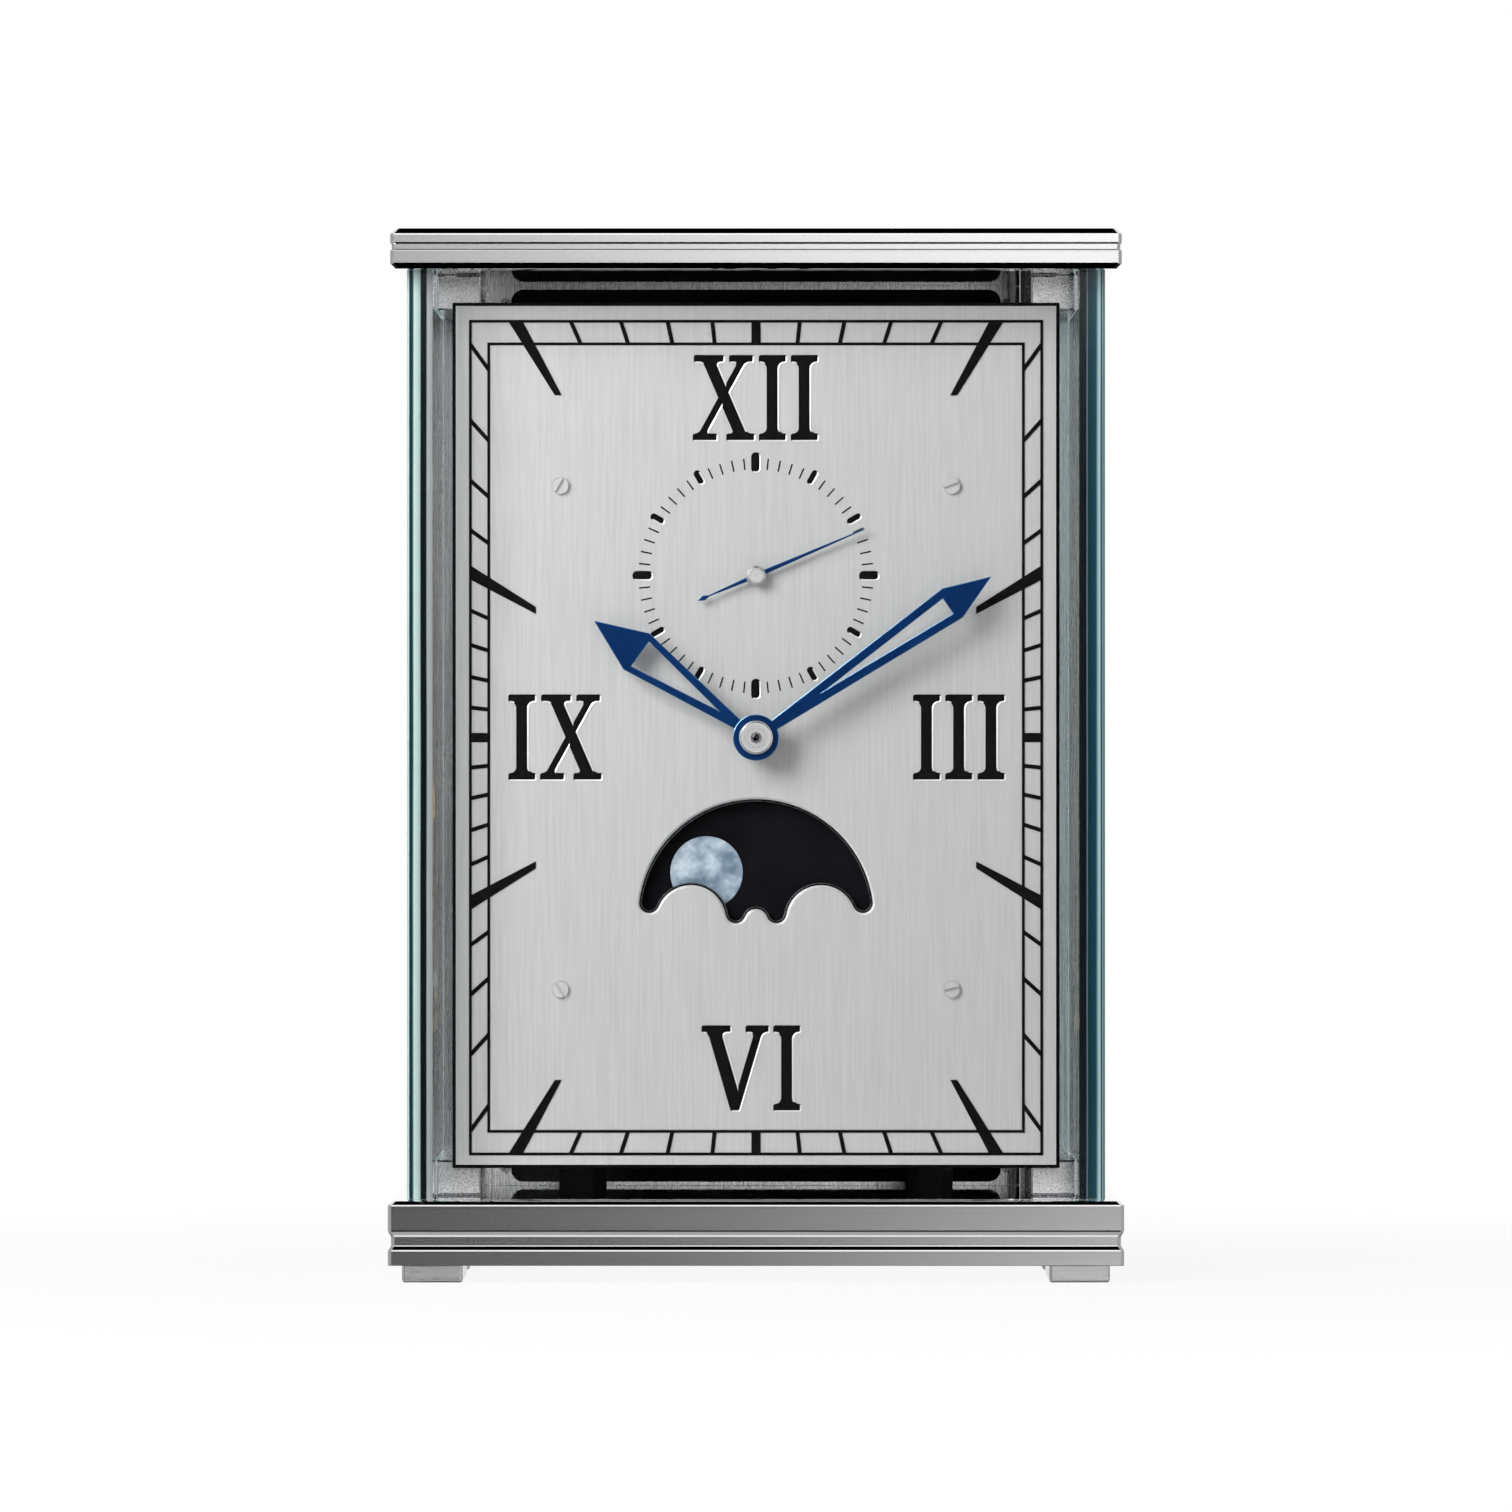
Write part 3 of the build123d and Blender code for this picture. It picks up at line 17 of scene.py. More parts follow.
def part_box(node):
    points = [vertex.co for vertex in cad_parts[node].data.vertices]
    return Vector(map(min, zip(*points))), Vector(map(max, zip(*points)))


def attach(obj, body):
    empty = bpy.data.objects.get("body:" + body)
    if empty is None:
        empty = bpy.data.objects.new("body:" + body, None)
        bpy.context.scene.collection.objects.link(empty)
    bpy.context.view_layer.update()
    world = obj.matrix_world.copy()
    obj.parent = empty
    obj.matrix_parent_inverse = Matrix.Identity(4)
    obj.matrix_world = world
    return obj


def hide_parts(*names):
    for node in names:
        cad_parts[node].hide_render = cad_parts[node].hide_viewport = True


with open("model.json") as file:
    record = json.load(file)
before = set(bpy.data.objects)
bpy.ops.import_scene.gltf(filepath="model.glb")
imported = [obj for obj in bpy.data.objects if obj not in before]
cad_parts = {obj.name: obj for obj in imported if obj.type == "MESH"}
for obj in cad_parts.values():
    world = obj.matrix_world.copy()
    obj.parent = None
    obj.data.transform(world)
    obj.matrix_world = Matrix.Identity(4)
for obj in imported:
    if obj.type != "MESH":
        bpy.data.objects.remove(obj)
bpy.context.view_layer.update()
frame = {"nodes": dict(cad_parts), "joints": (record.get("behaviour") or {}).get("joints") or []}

scene = bpy.context.scene
nodes = frame["nodes"]
mm = 0.001
micron = 0.001 * mm


def added(name, data):
    """A new object in the scene."""
    thing = bpy.data.objects.new(name, data)
    scene.collection.objects.link(thing)
    return thing


# %% [markdown]
# ## Camera
#
# The photograph looks straight at the dial from about two metres, at the height of the middle of
# the case. A long lens at that distance gives the same slight perspective: the rear wall looks a
# little smaller than the front glass. The focal length follows from the width that the picture
# covers in the plane of the clock's front.

# %% Camera
camera_height = 92.45 * mm
camera_distance = 1905 * mm
picture_width = 265 * mm
front_y = -40 * mm
sensor = 36

camera_data = bpy.data.cameras.new("studio_camera")
camera_data.sensor_width = sensor
camera_data.lens = sensor * camera_distance / picture_width
camera_data.clip_start = 0.05
camera_data.clip_end = 50
camera = added("studio_camera", camera_data)
camera.location = (0, front_y - camera_distance, camera_height)
camera.rotation_euler = (math.radians(90), 0, 0)
scene.camera = camera
print("lens", round(camera_data.lens, 1))

# %% [markdown]
# ## Node helpers
#
# Most finishes here are one Principled shader with a pattern that changes its colour or roughness a
# little. These helpers keep each recipe short: they make the material, a noise that is stretched
# along the direction of brushing, and the steps between a pattern and the shader. Those that take an
# owner serve the surround as well.

# %% Node helpers
def fill(node, values):
    """Gives sockets of a node their values."""
    for socket, value in values.items():
        node.inputs[socket].default_value = value


def new_material(name, colour, metallic, roughness):
    """A Principled material; returns the material and its shader."""
    material = bpy.data.materials.new(name)
    material.use_nodes = True
    shader = material.node_tree.nodes["Principled BSDF"]
    fill(shader, {"Base Color": (*colour, 1), "Metallic": metallic, "Roughness": roughness})
    return material, shader


def add_node(owner, kind, values=None, **settings):
    """A new shader node in a material or a world, with its sockets' values and its settings."""
    node = owner.node_tree.nodes.new("ShaderNode" + kind)
    for setting, value in settings.items():
        setattr(node, setting, value)
    fill(node, values or {})
    return node


def link(start, end):
    """Joins an output of one node to an input of another; a socket knows its own tree."""
    start.id_data.links.new(start, end)


def mapped(material, values):
    """The piece's own coordinates, moved or stretched as the values say."""
    place = add_node(material, "TexCoord")
    mapping = add_node(material, "Mapping", values, vector_type="TEXTURE")
    link(place.outputs["Object"], mapping.inputs["Vector"])
    return mapping.outputs["Vector"]


def grain(material, scale, detail=4.0):
    """Noise on the piece's own coordinates; the scale counts grains per metre along each axis."""
    noise = add_node(material, "TexNoise", {"Scale": 1, "Detail": detail})
    link(mapped(material, {"Scale": [1 / along for along in scale]}), noise.inputs["Vector"])
    return noise.outputs["Fac"]


def ramp(material, pattern, stops):
    """Colours along a pattern, as (place, colour) stops."""
    colours = add_node(material, "ValToRGB")
    elements = colours.color_ramp.elements
    for end in (0, -1):
        elements[end].position = stops[end][0]
        elements[end].color = (*stops[end][1], 1)
    for place, colour in stops[1:-1]:
        elements.new(place).color = (*colour, 1)
    link(pattern, colours.inputs["Fac"])
    return colours.outputs["Color"]


def rescaled(owner, pattern, low, high, start=0.3, end=0.7, steps="LINEAR"):
    """What lies from start to end of a pattern, brought to the range from low to high."""
    ranges = {"From Min": start, "From Max": end, "To Min": low, "To Max": high}
    span = add_node(owner, "MapRange", ranges, interpolation_type=steps)
    link(pattern, span.inputs["Value"])
    return span.outputs["Result"]


def relief(material, shader, pattern, depth):
    """A bump of a given depth in metres."""
    bump = add_node(material, "Bump", {"Strength": 1, "Distance": depth})
    link(pattern, bump.inputs["Height"])
    link(bump.outputs["Normal"], shader.inputs["Normal"])


def patterned(material, shader, pattern, colours, roughness, blur, depth, start=0.3, end=0.7):
    """Lets one pattern drive two colours, the relief and the roughness, which strays by its blur."""
    tones = ramp(material, pattern, [(start, colours[0]), (end, colours[1])])
    blurs = rescaled(material, pattern, roughness * (1 - blur), roughness * (1 + blur), start, end)
    link(tones, shader.inputs["Base Color"])
    link(blurs, shader.inputs["Roughness"])
    relief(material, shader, pattern, depth)


def shade(colour, share):
    """A lighter or darker copy of a colour."""
    return tuple(min(1, part * share) for part in colour)


def combined(owner, operation, first, second=0.0):
    """A sum, a product or the like of two values, each a number or an output."""
    node = add_node(owner, "Math", operation=operation)
    for socket, value in zip(node.inputs, (first, second)):
        if isinstance(value, (int, float)):
            socket.default_value = value
        else:
            link(value, socket)
    return node.outputs["Value"]


def blended(material, blend, first, second):
    """Two colours added or multiplied. Sockets 6 and 7 of a Mix node are its colours."""
    mix = add_node(material, "Mix", {"Factor": 1}, data_type="RGBA", blend_type=blend)
    link(first, mix.inputs[6])
    link(second, mix.inputs[7])
    return mix.outputs[2]


def mixed(material, share, first, second):
    """Two shaders mixed; the share is how much of the second shows."""
    mix = add_node(material, "MixShader")
    for socket, value in zip(mix.inputs, (share, first, second)):
        link(value, socket)
    return mix.outputs["Shader"]


print("node helpers ready")

# %% [markdown]
# ## Brushed and polished metal
#
# Brushed metal is a metal whose tiny scratches all run one way. Geometry for the scratches would be
# endless, so noise that is very fine across the brushing and long along it stands in for them: it
# changes the colour and the roughness a little and gives a bump of a few microns at most. The plates'
# faces are brushed so finely that they only blur what they mirror, so they get no bump at all. A
# polished slope is the same metal with almost no roughness, which shows the dark studio.

# %% Brushed and polished metal
def brushed(name, colour, roughness, scale, streak=0.07, depth=4 * micron, metallic=1.0, blur=0.2):
    """Metal brushed along the axis whose scale is the smallest.

    The streak is how far the colour strays to each side, the blur how far the roughness does.
    """
    material, shader = new_material(name, colour, metallic, roughness)
    patterned(material, shader, grain(material, scale),
              (shade(colour, 1 - streak), shade(colour, 1 + streak)), roughness, blur, depth)
    return material


all_ways = (2500, 2500, 2500)
satin_plate = brushed("satin_plate", (0.74, 0.74, 0.75), 0.14, (6, 6, 2500),
                      streak=0.012, depth=0, blur=0.04)
polished_plate = brushed("polished_plate", (0.80, 0.80, 0.81), 0.04, (300, 300, 300),
                         streak=0.02, depth=0.2 * micron)
upright_brushing = brushed("upright_brushing", (0.66, 0.66, 0.67), 0.26, (3500, 3500, 40),
                           streak=0.03, depth=0.1 * micron)
rail_brushing = brushed("rail_brushing", (0.66, 0.66, 0.67), 0.26, (3500, 60, 3500),
                        streak=0.03, depth=0.1 * micron)
foot_brushing = brushed("foot_brushing", (0.72, 0.72, 0.73), 0.30, (90, 90, 4000),
                        streak=0.10, depth=2 * micron)
silvered_dial = brushed("silvered_dial", (0.66, 0.66, 0.655), 0.38, (2600, 400, 70),
                        streak=0.06, depth=0.5 * micron, metallic=0.20)
bright_steel = brushed("bright_steel", (0.62, 0.62, 0.63), 0.22, all_ways, streak=0.08)
grey_steel = brushed("grey_steel", (0.36, 0.36, 0.37), 0.30, all_ways, streak=0.10)
dark_steel = brushed("dark_steel", (0.05, 0.05, 0.055), 0.16, all_ways, streak=0.2, depth=0.5 * micron)
# a pale silver for cut walls and bevels, painted brighter than the dial as a highlight
rim_silver_highlight = brushed("rim_silver_highlight", (0.93, 0.93, 0.93), 0.35, (900, 900, 900),
                     streak=0.04, depth=0, metallic=0.35, blur=0.1)
print("metals ready")

# %% [markdown]
# ## Brass
#
# The movement is brass. Its plates are brushed upright, and its wheels are turned, so their scratches
# run in circles. A wheel's scratches therefore come from the distance to its own axis, through a wave
# of rings, and each wheel gets its own copy of the recipe with its own centre.

# %% Brass
brass_colour = (0.80, 0.58, 0.26)
plate_brass = brushed("plate_brass", brass_colour, 0.30, (3500, 3500, 50),
                      streak=0.05, depth=0.8 * micron)
wave_rate = 20    # how many radians of wave a metre has at scale 1


def turned_metal(name, colour, centre, roughness=0.26, ring=0.35 * mm, streak=0.08, depth=2 * micron):
    """Metal turned about an axis along Y through a centre given as x and z."""
    material, shader = new_material(name, colour, 1, roughness)
    about_centre = mapped(material, {"Location": (centre[0], 0, centre[1])})
    looks = {"Scale": 1 / (ring * wave_rate), "Distortion": 0.6, "Detail": 3, "Detail Scale": 6}
    waves = add_node(material, "TexWave", looks, wave_type="RINGS", rings_direction="Y")
    link(about_centre, waves.inputs["Vector"])
    patterned(material, shader, waves.outputs["Fac"],
              (shade(colour, 1 - streak), shade(colour, 1 + streak)),
              roughness, blur=0.2, depth=depth, start=0, end=1)
    return material


print("brass ready")

# %% [markdown]
# ## Blued steel
#
# Steel turns blue when it is heated gently. The colour is a thin layer, even over the flat of a hand,
# and slightly cloudy. The narrow bevel along each hand's edge catches the light as a pale line, so it
# gets a second, brighter material: a paler blue painted on as a highlight.

# %% Blued steel
blued_steel, blued_shader = new_material("blued_steel", (0.0, 0.03, 0.14), 0.15, 0.36)
fill(blued_shader, {"Specular IOR Level": 0.12})
clouds = grain(blued_steel, (160, 160, 160), 5)
blues = ramp(blued_steel, clouds, [(0.3, (0.0, 0.022, 0.105)), (0.7, (0.001, 0.034, 0.150))])
link(blues, blued_shader.inputs["Base Color"])
link(rescaled(blued_steel, clouds, 0.30, 0.42), blued_shader.inputs["Roughness"])
relief(blued_steel, blued_shader, grain(blued_steel, (5000, 5000, 5000), 3), 2 * micron)

# the hands' bevels: a paler blue painted on as a highlight
blued_edge_highlight, blued_edge_shader = new_material("blued_edge_highlight", (0.16, 0.36, 0.60), 0.6, 0.25)
edge_clouds = grain(blued_edge_highlight, (500, 500, 500))
edge_blues = ramp(blued_edge_highlight, edge_clouds, [(0.3, (0.12, 0.28, 0.50)), (0.7, (0.22, 0.44, 0.68))])
link(edge_blues, blued_edge_shader.inputs["Base Color"])
print("blued steel ready")

# %% [markdown]
# ## Black: enamel in the marks, lacquer behind them
#
# The marks are filled with black enamel. The dial's backing and the panel of the rear door are
# lacquered, which is a little softer. Neither mirrors much, so both stay black beside the bright
# metal, and a fine orange-peel relief keeps that black from looking like a hole. Both blacks are also
# painted as shade: the enamel on the walls of the marks that the light misses, and the lacquer on the
# bevels round the screw heads.

# %% Black finishes
def lacquer(name, colour, roughness, peel):
    """A nearly matt black; the peel is the depth of its relief."""
    material, shader = new_material(name, colour, 0, roughness)
    fill(shader, {"Specular IOR Level": 0.08})
    patterned(material, shader, grain(material, (900, 900, 900), 3),
              (colour, shade(colour, 1.6)), roughness, blur=0.15, depth=peel)
    return material


enamel_and_painted_shade = lacquer("black_enamel", (0.0035, 0.0035, 0.004), 0.42, 2 * micron)
lacquer_and_painted_shade = lacquer("black_lacquer_and_painted_shade", (0.004, 0.004, 0.0045), 0.45, 4 * micron)
print("blacks ready")

# %% [markdown]
# ## Glass
#
# The panes are thick plate glass. Seen through its face a pane is clear, and seen along its length it
# is blue-green, because the light crosses far more of it. A volume that absorbs a little red gives
# both. Light that only lights the inside, and what the metal inside mirrors, passes straight through,
# because each pane would otherwise shade the inside like a wall. A ray that a pane has bent counts as
# glossy and as transmitted, so the mirrored rays are those that are glossy and not transmitted.

# %% Glass
def plate_glass(name, density):
    """Polished plate glass that absorbs a little red; density is per metre."""
    glass, shader = new_material(name, (1, 1, 1), 0, 0.0)
    fill(shader, {"Transmission Weight": 1, "IOR": 1.5})
    smears = grain(glass, (14, 14, 9), 3)
    link(rescaled(glass, smears, 0.0, 0.012), shader.inputs["Roughness"])
    clear = add_node(glass, "BsdfTransparent")
    ray = add_node(glass, "LightPath").outputs
    lighting = combined(glass, "MAXIMUM", ray["Is Shadow Ray"], ray["Is Diffuse Ray"])
    mirrored_ray = combined(glass, "SUBTRACT", ray["Is Glossy Ray"], ray["Is Transmission Ray"])
    passed = combined(glass, "MAXIMUM", lighting, mirrored_ray)
    pane = mixed(glass, passed, shader.outputs["BSDF"], clear.outputs["BSDF"])
    tint = add_node(glass, "VolumeAbsorption",
                    {"Color": (0.0, 0.72, 0.76, 1), "Density": density})
    output = glass.node_tree.nodes["Material Output"]
    link(pane, output.inputs["Surface"])
    link(tint.outputs["Volume"], output.inputs["Volume"])
    return glass


front_pane_glass = plate_glass("front_pane_glass", 1)
side_pane_glass = plate_glass("side_pane_glass", 10)
print("glass ready")

# %% [markdown]
# ## Copies with broken edges
#
# No real edge is perfectly sharp. A machined plate has a tiny bevel that shows as a thin line of light,
# and that line is much of what makes metal look real. A CAD node's mesh is loose triangles, so a copy
# is welded, its flat areas are joined up, and every sharp edge gets a bevel. The copy then stands for
# the node. The bevel's faces may have a finish of their own. Only gentle bends are shaded smooth, so
# that a flat face keeps an even tone up to its edge.

# %% Copies with broken edges
weld_distance = 0.8 * micron
joined_angle = math.radians(0.6)    # triangles that bend less than this become one face
bevel_angle = math.radians(30)      # edges sharper than this get a bevel
flat_angle = math.radians(1)        # bends between this and the next are shaded smooth
smooth_angle = math.radians(10)
flat_corners = 9                    # a face with this many corners is the flat end of something


def welded(node):
    """A bmesh of a CAD node with its triangles joined into whole faces."""
    shell = bmesh.new()
    shell.from_mesh(nodes[node].data)
    bmesh.ops.remove_doubles(shell, verts=shell.verts, dist=weld_distance)
    bmesh.ops.dissolve_limit(shell, angle_limit=joined_angle, verts=shell.verts, edges=shell.edges)
    return shell


def placed(shell, name, body, finishes):
    """Makes an object of a bmesh, with its materials, and lets it ride on a body."""
    for face in shell.faces:
        bends = [edge.calc_face_angle() for edge in face.edges if edge.is_manifold]
        curved = any(flat_angle < bend < smooth_angle for bend in bends)
        face.smooth = curved and len(face.verts) < flat_corners
    mesh = bpy.data.meshes.new(name)
    shell.to_mesh(mesh)
    shell.free()
    for finish in finishes:
        mesh.materials.append(finish)
    mesh.set_sharp_from_angle(angle=smooth_angle)
    piece = added(name, mesh)
    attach(piece, body)
    return piece


def bevelled(shell, geom, width, segments, affect="EDGES", material=-1):
    """Bevels edges or corners and returns the new faces."""
    return bmesh.ops.bevel(
        shell, geom=geom, offset=width, offset_type="OFFSET", segments=segments, profile=0.5,
        affect=affect, material=material, clamp_overlap=True,
    )["faces"]


def break_edges(shell, width):
    """Bevels the sharp edges and marks the new faces with the second material."""
    edges = [e for e in shell.edges if e.is_manifold and e.calc_face_angle() > bevel_angle]
    for face in bevelled(shell, edges, width, 2):
        face.material_index = 1


def stands_for(shell, node, body, finishes, name=None):
    """Places a bmesh in the stead of a CAD node and returns the piece."""
    piece = placed(shell, name or node + "_dressed", body, finishes)
    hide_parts(node)
    return piece


def dressed(node, finish, width, edge_finish, body="case"):
    """A copy of a CAD node with broken edges, which stands for it."""
    shell = welded(node)
    break_edges(shell, width)
    stands_for(shell, node, body, [finish, edge_finish])


def finished(finish, *names):
    """Gives CAD nodes that stay as they are their material."""
    for name in names:
        nodes[name].data.materials.clear()
        nodes[name].data.materials.append(finish)


print("helpers ready")

# %% [markdown]
# ## Base plate and top plate
#
# Both plates are milled with a shallow band between two faces. Their faces are satin and every slope
# between them is polished. What the eye reads at this size is the row of thin dark and bright lines, so
# each plate is drawn afresh from its profile: how far in it stands at each height. An eight-sided ring
# is made at every height, each ring is bridged to the next, and the ends are closed. The short steps of
# the profile are the narrow bevels that carry the lines of light.

# %% Base plate and top plate
corner_cut = 0.6 * mm
upright = 0.1       # a face whose normal rises less than this stands upright
# Width, depth and the profile from the bottom up as (inset, height), all in mm.
plate_profiles = {
    "base_plate": (129.1, 80.0, [
        (0.08, 3.10), (0.0, 3.18), (0.0, 5.62), (0.09, 5.84), (0.47, 6.43), (0.55, 6.62), (0.55, 8.15),
        (0.30, 8.535), (0.05, 9.045), (0.0, 9.30), (0.0, 13.52), (0.09, 13.74), (0.70, 14.33),
        (0.82, 14.40)]),
    "top_plate": (128.3, 79.2, [
        (1.00, 177.90), (0.90, 177.95), (0.06, 178.79), (0.0, 178.95), (0.0, 181.0), (0.09, 181.2),
        (0.25, 181.36), (0.25, 182.2), (0.07, 182.34), (0.0, 182.56), (0.0, 183.86), (0.09, 184.08),
        (0.80, 184.88), (0.95, 185.0)]),
}


def ring_of(shell, width, depth, inset, z):
    """An eight-sided outline at one height, as edges."""
    x, y = width / 2 - inset, depth / 2 - inset
    cut = corner_cut
    places = [(x - cut, -y), (x, -y + cut), (x, y - cut), (x - cut, y),
              (-x + cut, y), (-x, y - cut), (-x, -y + cut), (-x + cut, -y)]
    corners = [shell.verts.new((px, py, z)) for px, py in places]
    return [shell.edges.new(ends) for ends in zip(corners, corners[1:] + corners[:1])]


for name, (width, depth, profile) in plate_profiles.items():
    shell = bmesh.new()
    rings = [ring_of(shell, width * mm, depth * mm, inset * mm, z * mm) for inset, z in profile]
    for lower, upper in zip(rings, rings[1:]):
        bmesh.ops.bridge_loops(shell, edges=lower + upper)
    for ring in (rings[0], rings[-1]):
        bmesh.ops.contextual_create(shell, geom=ring)
    bmesh.ops.recalc_face_normals(shell, faces=shell.faces)
    for face in shell.faces:
        face.material_index = 0 if abs(face.normal.z) < upright else 1
    plate = stands_for(shell, name, "case", [satin_plate, polished_plate])
    print(name, len(plate.data.polygons), "faces")

# %% [markdown]
# ## Feet, rails and rear wall
#
# The feet and the rails are brushed along their length, the rear wall upright. The black panel
# inside the door is lacquered sheet. The door fits so closely that its joints read as dark hairlines:
# the copies of the stiles and of the door are drawn a little nearer to each other than the CAD ones.

# %% Feet, rails and rear wall
case_bevel, wall_bevel, thin_bevel = 0.08 * mm, 0.03 * mm, 0.06 * mm
for end in ("front", "rear"):
    for side in ("left", "right"):
        dressed(f"{end}_{side}_foot", foot_brushing, case_bevel, polished_plate)
for level in ("upper", "lower"):
    for side in ("left", "right"):
        dressed(f"{level}_{side}_rail", rail_brushing, case_bevel, polished_plate)

stile_reach, door_reach = 0.25 * mm, 0.35 * mm
at_end = 0.1 * mm       # a corner this close to an end of its piece moves with that end
for side, sign in (("left", -1), ("right", 1)):
    shell = welded(side + "_stile")
    nearest = min(abs(v.co.x) for v in shell.verts)
    bmesh.ops.translate(shell, vec=(-sign * stile_reach, 0, 0),
                        verts=[v for v in shell.verts if abs(v.co.x) < nearest + at_end])
    break_edges(shell, wall_bevel)
    stands_for(shell, side + "_stile", "case", [upright_brushing, polished_plate])
shell = welded("door_frame")
door_ends = [min(v.co.z for v in shell.verts), max(v.co.z for v in shell.verts)]
for vert in shell.verts:
    if abs(vert.co.z - door_ends[0]) < at_end:
        vert.co.z -= door_reach
    elif abs(vert.co.z - door_ends[1]) < at_end:
        vert.co.z += door_reach
break_edges(shell, wall_bevel)
stands_for(shell, "door_frame", "door", [upright_brushing, polished_plate])

knob_axis = (-40 * mm, 96.15 * mm)
knob_metal = turned_metal("turned_knob", (0.62, 0.62, 0.63), knob_axis)
dressed("door_lining", lacquer_and_painted_shade, thin_bevel, lacquer_and_painted_shade, "door")
dressed("door_knob", knob_metal, case_bevel, bright_steel, "latch")
dressed("latch_tongue", bright_steel, thin_bevel, bright_steel, "latch")
finished(bright_steel, "door_pins")
print("case ready")

# %% [markdown]
# ## Panes
#
# The panes' edges are ground and polished, so each copy has a small bright bevel. The side panes end a
# hair behind the front pane: two glass faces in exactly the same place would flicker in the render.
# The end of a side pane shows the dark and pale bands of everything that its length gathers, so the
# end faces get those bands painted on as reflections: a ramp across the pane's thickness, which a
# little noise bends.

# %% Panes
seam = 0.03 * mm
pane_bevel = 0.12 * mm
pane_inner, pane_outer = 56.8 * mm, 61.3 * mm
near_front = -32 * mm       # what lies before this belongs to the front end of a side pane


def painted_reflection_end(name, sign, bands):
    """Polished end of a side pane with painted reflections; the bands run from its inner face (0) to its
    outer face (1).
    """
    material, shader = new_material(name, (0.1, 0.1, 0.1), 0, 0.08)
    place = add_node(material, "TexCoord")
    axes = add_node(material, "SeparateXYZ")
    link(place.outputs["Object"], axes.inputs["Vector"])
    across = rescaled(material, axes.outputs["X"], 0, 1, sign * pane_inner, sign * pane_outer)
    wander = rescaled(material, grain(material, (30, 30, 12), 2), -0.02, 0.02)
    bent = combined(material, "ADD", across, wander)
    link(ramp(material, bent, bands), shader.inputs["Base Color"])
    return material


painted_pane_ends = {
    "left_glass": painted_reflection_end("left_pane_painted_reflections", -1, [
        (0.02, (0.30, 0.32, 0.33)), (0.22, (0.42, 0.45, 0.46)), (0.27, (0.006, 0.012, 0.016)),
        (0.47, (0.004, 0.008, 0.010)), (0.53, (0.42, 0.58, 0.56)), (0.74, (0.62, 0.76, 0.70)),
        (0.80, (0.012, 0.05, 0.075)), (0.95, (0.006, 0.022, 0.035))]),
    "right_glass": painted_reflection_end("right_pane_painted_reflections", 1, [
        (0.02, (0.010, 0.012, 0.014)), (0.29, (0.006, 0.010, 0.014)), (0.33, (0.16, 0.26, 0.30)),
        (0.37, (0.008, 0.035, 0.050)), (0.68, (0.012, 0.075, 0.105)), (0.76, (0.36, 0.58, 0.62)),
        (0.83, (0.55, 0.75, 0.78)), (0.87, (0.004, 0.016, 0.024)), (0.93, (0.13, 0.22, 0.25))]),
}
for name in ("front_glass", "left_glass", "right_glass"):
    shell = welded(name)
    if name in painted_pane_ends:
        ends = [v for v in shell.verts if v.co.y < near_front]
        bmesh.ops.translate(shell, vec=(0, seam, 0), verts=ends)
    foot_level = min(v.co.z for v in shell.verts)
    for vert in shell.verts:
        vert.co.z += seam if abs(vert.co.z - foot_level) < seam else -seam
    break_edges(shell, pane_bevel)
    clear_glass = side_pane_glass if name in painted_pane_ends else front_pane_glass
    finishes = [clear_glass, clear_glass]
    # the end faces of a side pane get its painted reflections
    if name in painted_pane_ends:
        finishes.append(painted_pane_ends[name])
        for face in shell.faces:
            if abs(face.normal.y) > 0.9:
                face.material_index = 2
    stands_for(shell, name, "case", finishes)
print("panes ready")

# %% [markdown]
# ## Dial plate and its backing
#
# The dial is a silvered plate, brushed upright, and the backing is black. Both keep their CAD shape,
# and a thin bevel on the dial catches the light at its rim; that bevel is painted a paler silver than
# the dial as a highlight. The minute track is flat enamel, so the CAD node only needs its finish.

# %% Dial plate and its backing
dial_bevel = 0.05 * mm
dressed("dial_plate", silvered_dial, dial_bevel, rim_silver_highlight)
dressed("dial_backing", lacquer_and_painted_shade, dial_bevel, lacquer_and_painted_shade)
finished(enamel_and_painted_shade, "dial_track")
print("dial ready")

# %% [markdown]
# ## Sunk marks
#
# Each numeral and each bar is cut into the dial with a sloping wall and filled with black. The light
# comes from the upper left, so the walls at the lower right shine and those at the upper left stay
# dark. A mark starts as one flat face. Its corners are rounded, its middle is inset and pushed back,
# and the ring that is left between is the sloping wall. The dial itself is solid, so the wall rises a
# tenth of a millimetre from its face instead of sinking into it. A wall that faces up or to the left is
# bare silver, painted paler than the dial as a highlight; the walls that the light misses are painted
# black as their shade.

# %% Sunk marks
dial_face_y = -22 * mm
wall_height = 0.10 * mm     # of a wall's outer edge above the dial
fill_height = 0.02 * mm     # of the enamel above the dial
wall_width = 0.24 * mm
# the other walls are painted black as shade
lit_from = 0.08             # a wall that faces up or left by more than this is bare silver


def rounded_face(shell, points, radii):
    """One flat face in the plane of the dial, with each corner rounded by its own radius."""
    corners = [shell.verts.new((x, dial_face_y - wall_height, z)) for x, z in points]
    shell.faces.new(corners)
    for radius in sorted(set(radii) - {0}):
        chosen = [corner for corner, r in zip(corners, radii) if r == radius]
        bevelled(shell, chosen, radius, 5, "VERTICES")


def lower_skirt(shell, rim):
    """Walls from the edges of a mark straight down to the dial; returns what was made."""
    skirt = bmesh.ops.extrude_edge_only(shell, edges=rim)["geom"]
    for vert in skirt:
        if isinstance(vert, bmesh.types.BMVert):
            vert.co.y = dial_face_y
    return skirt


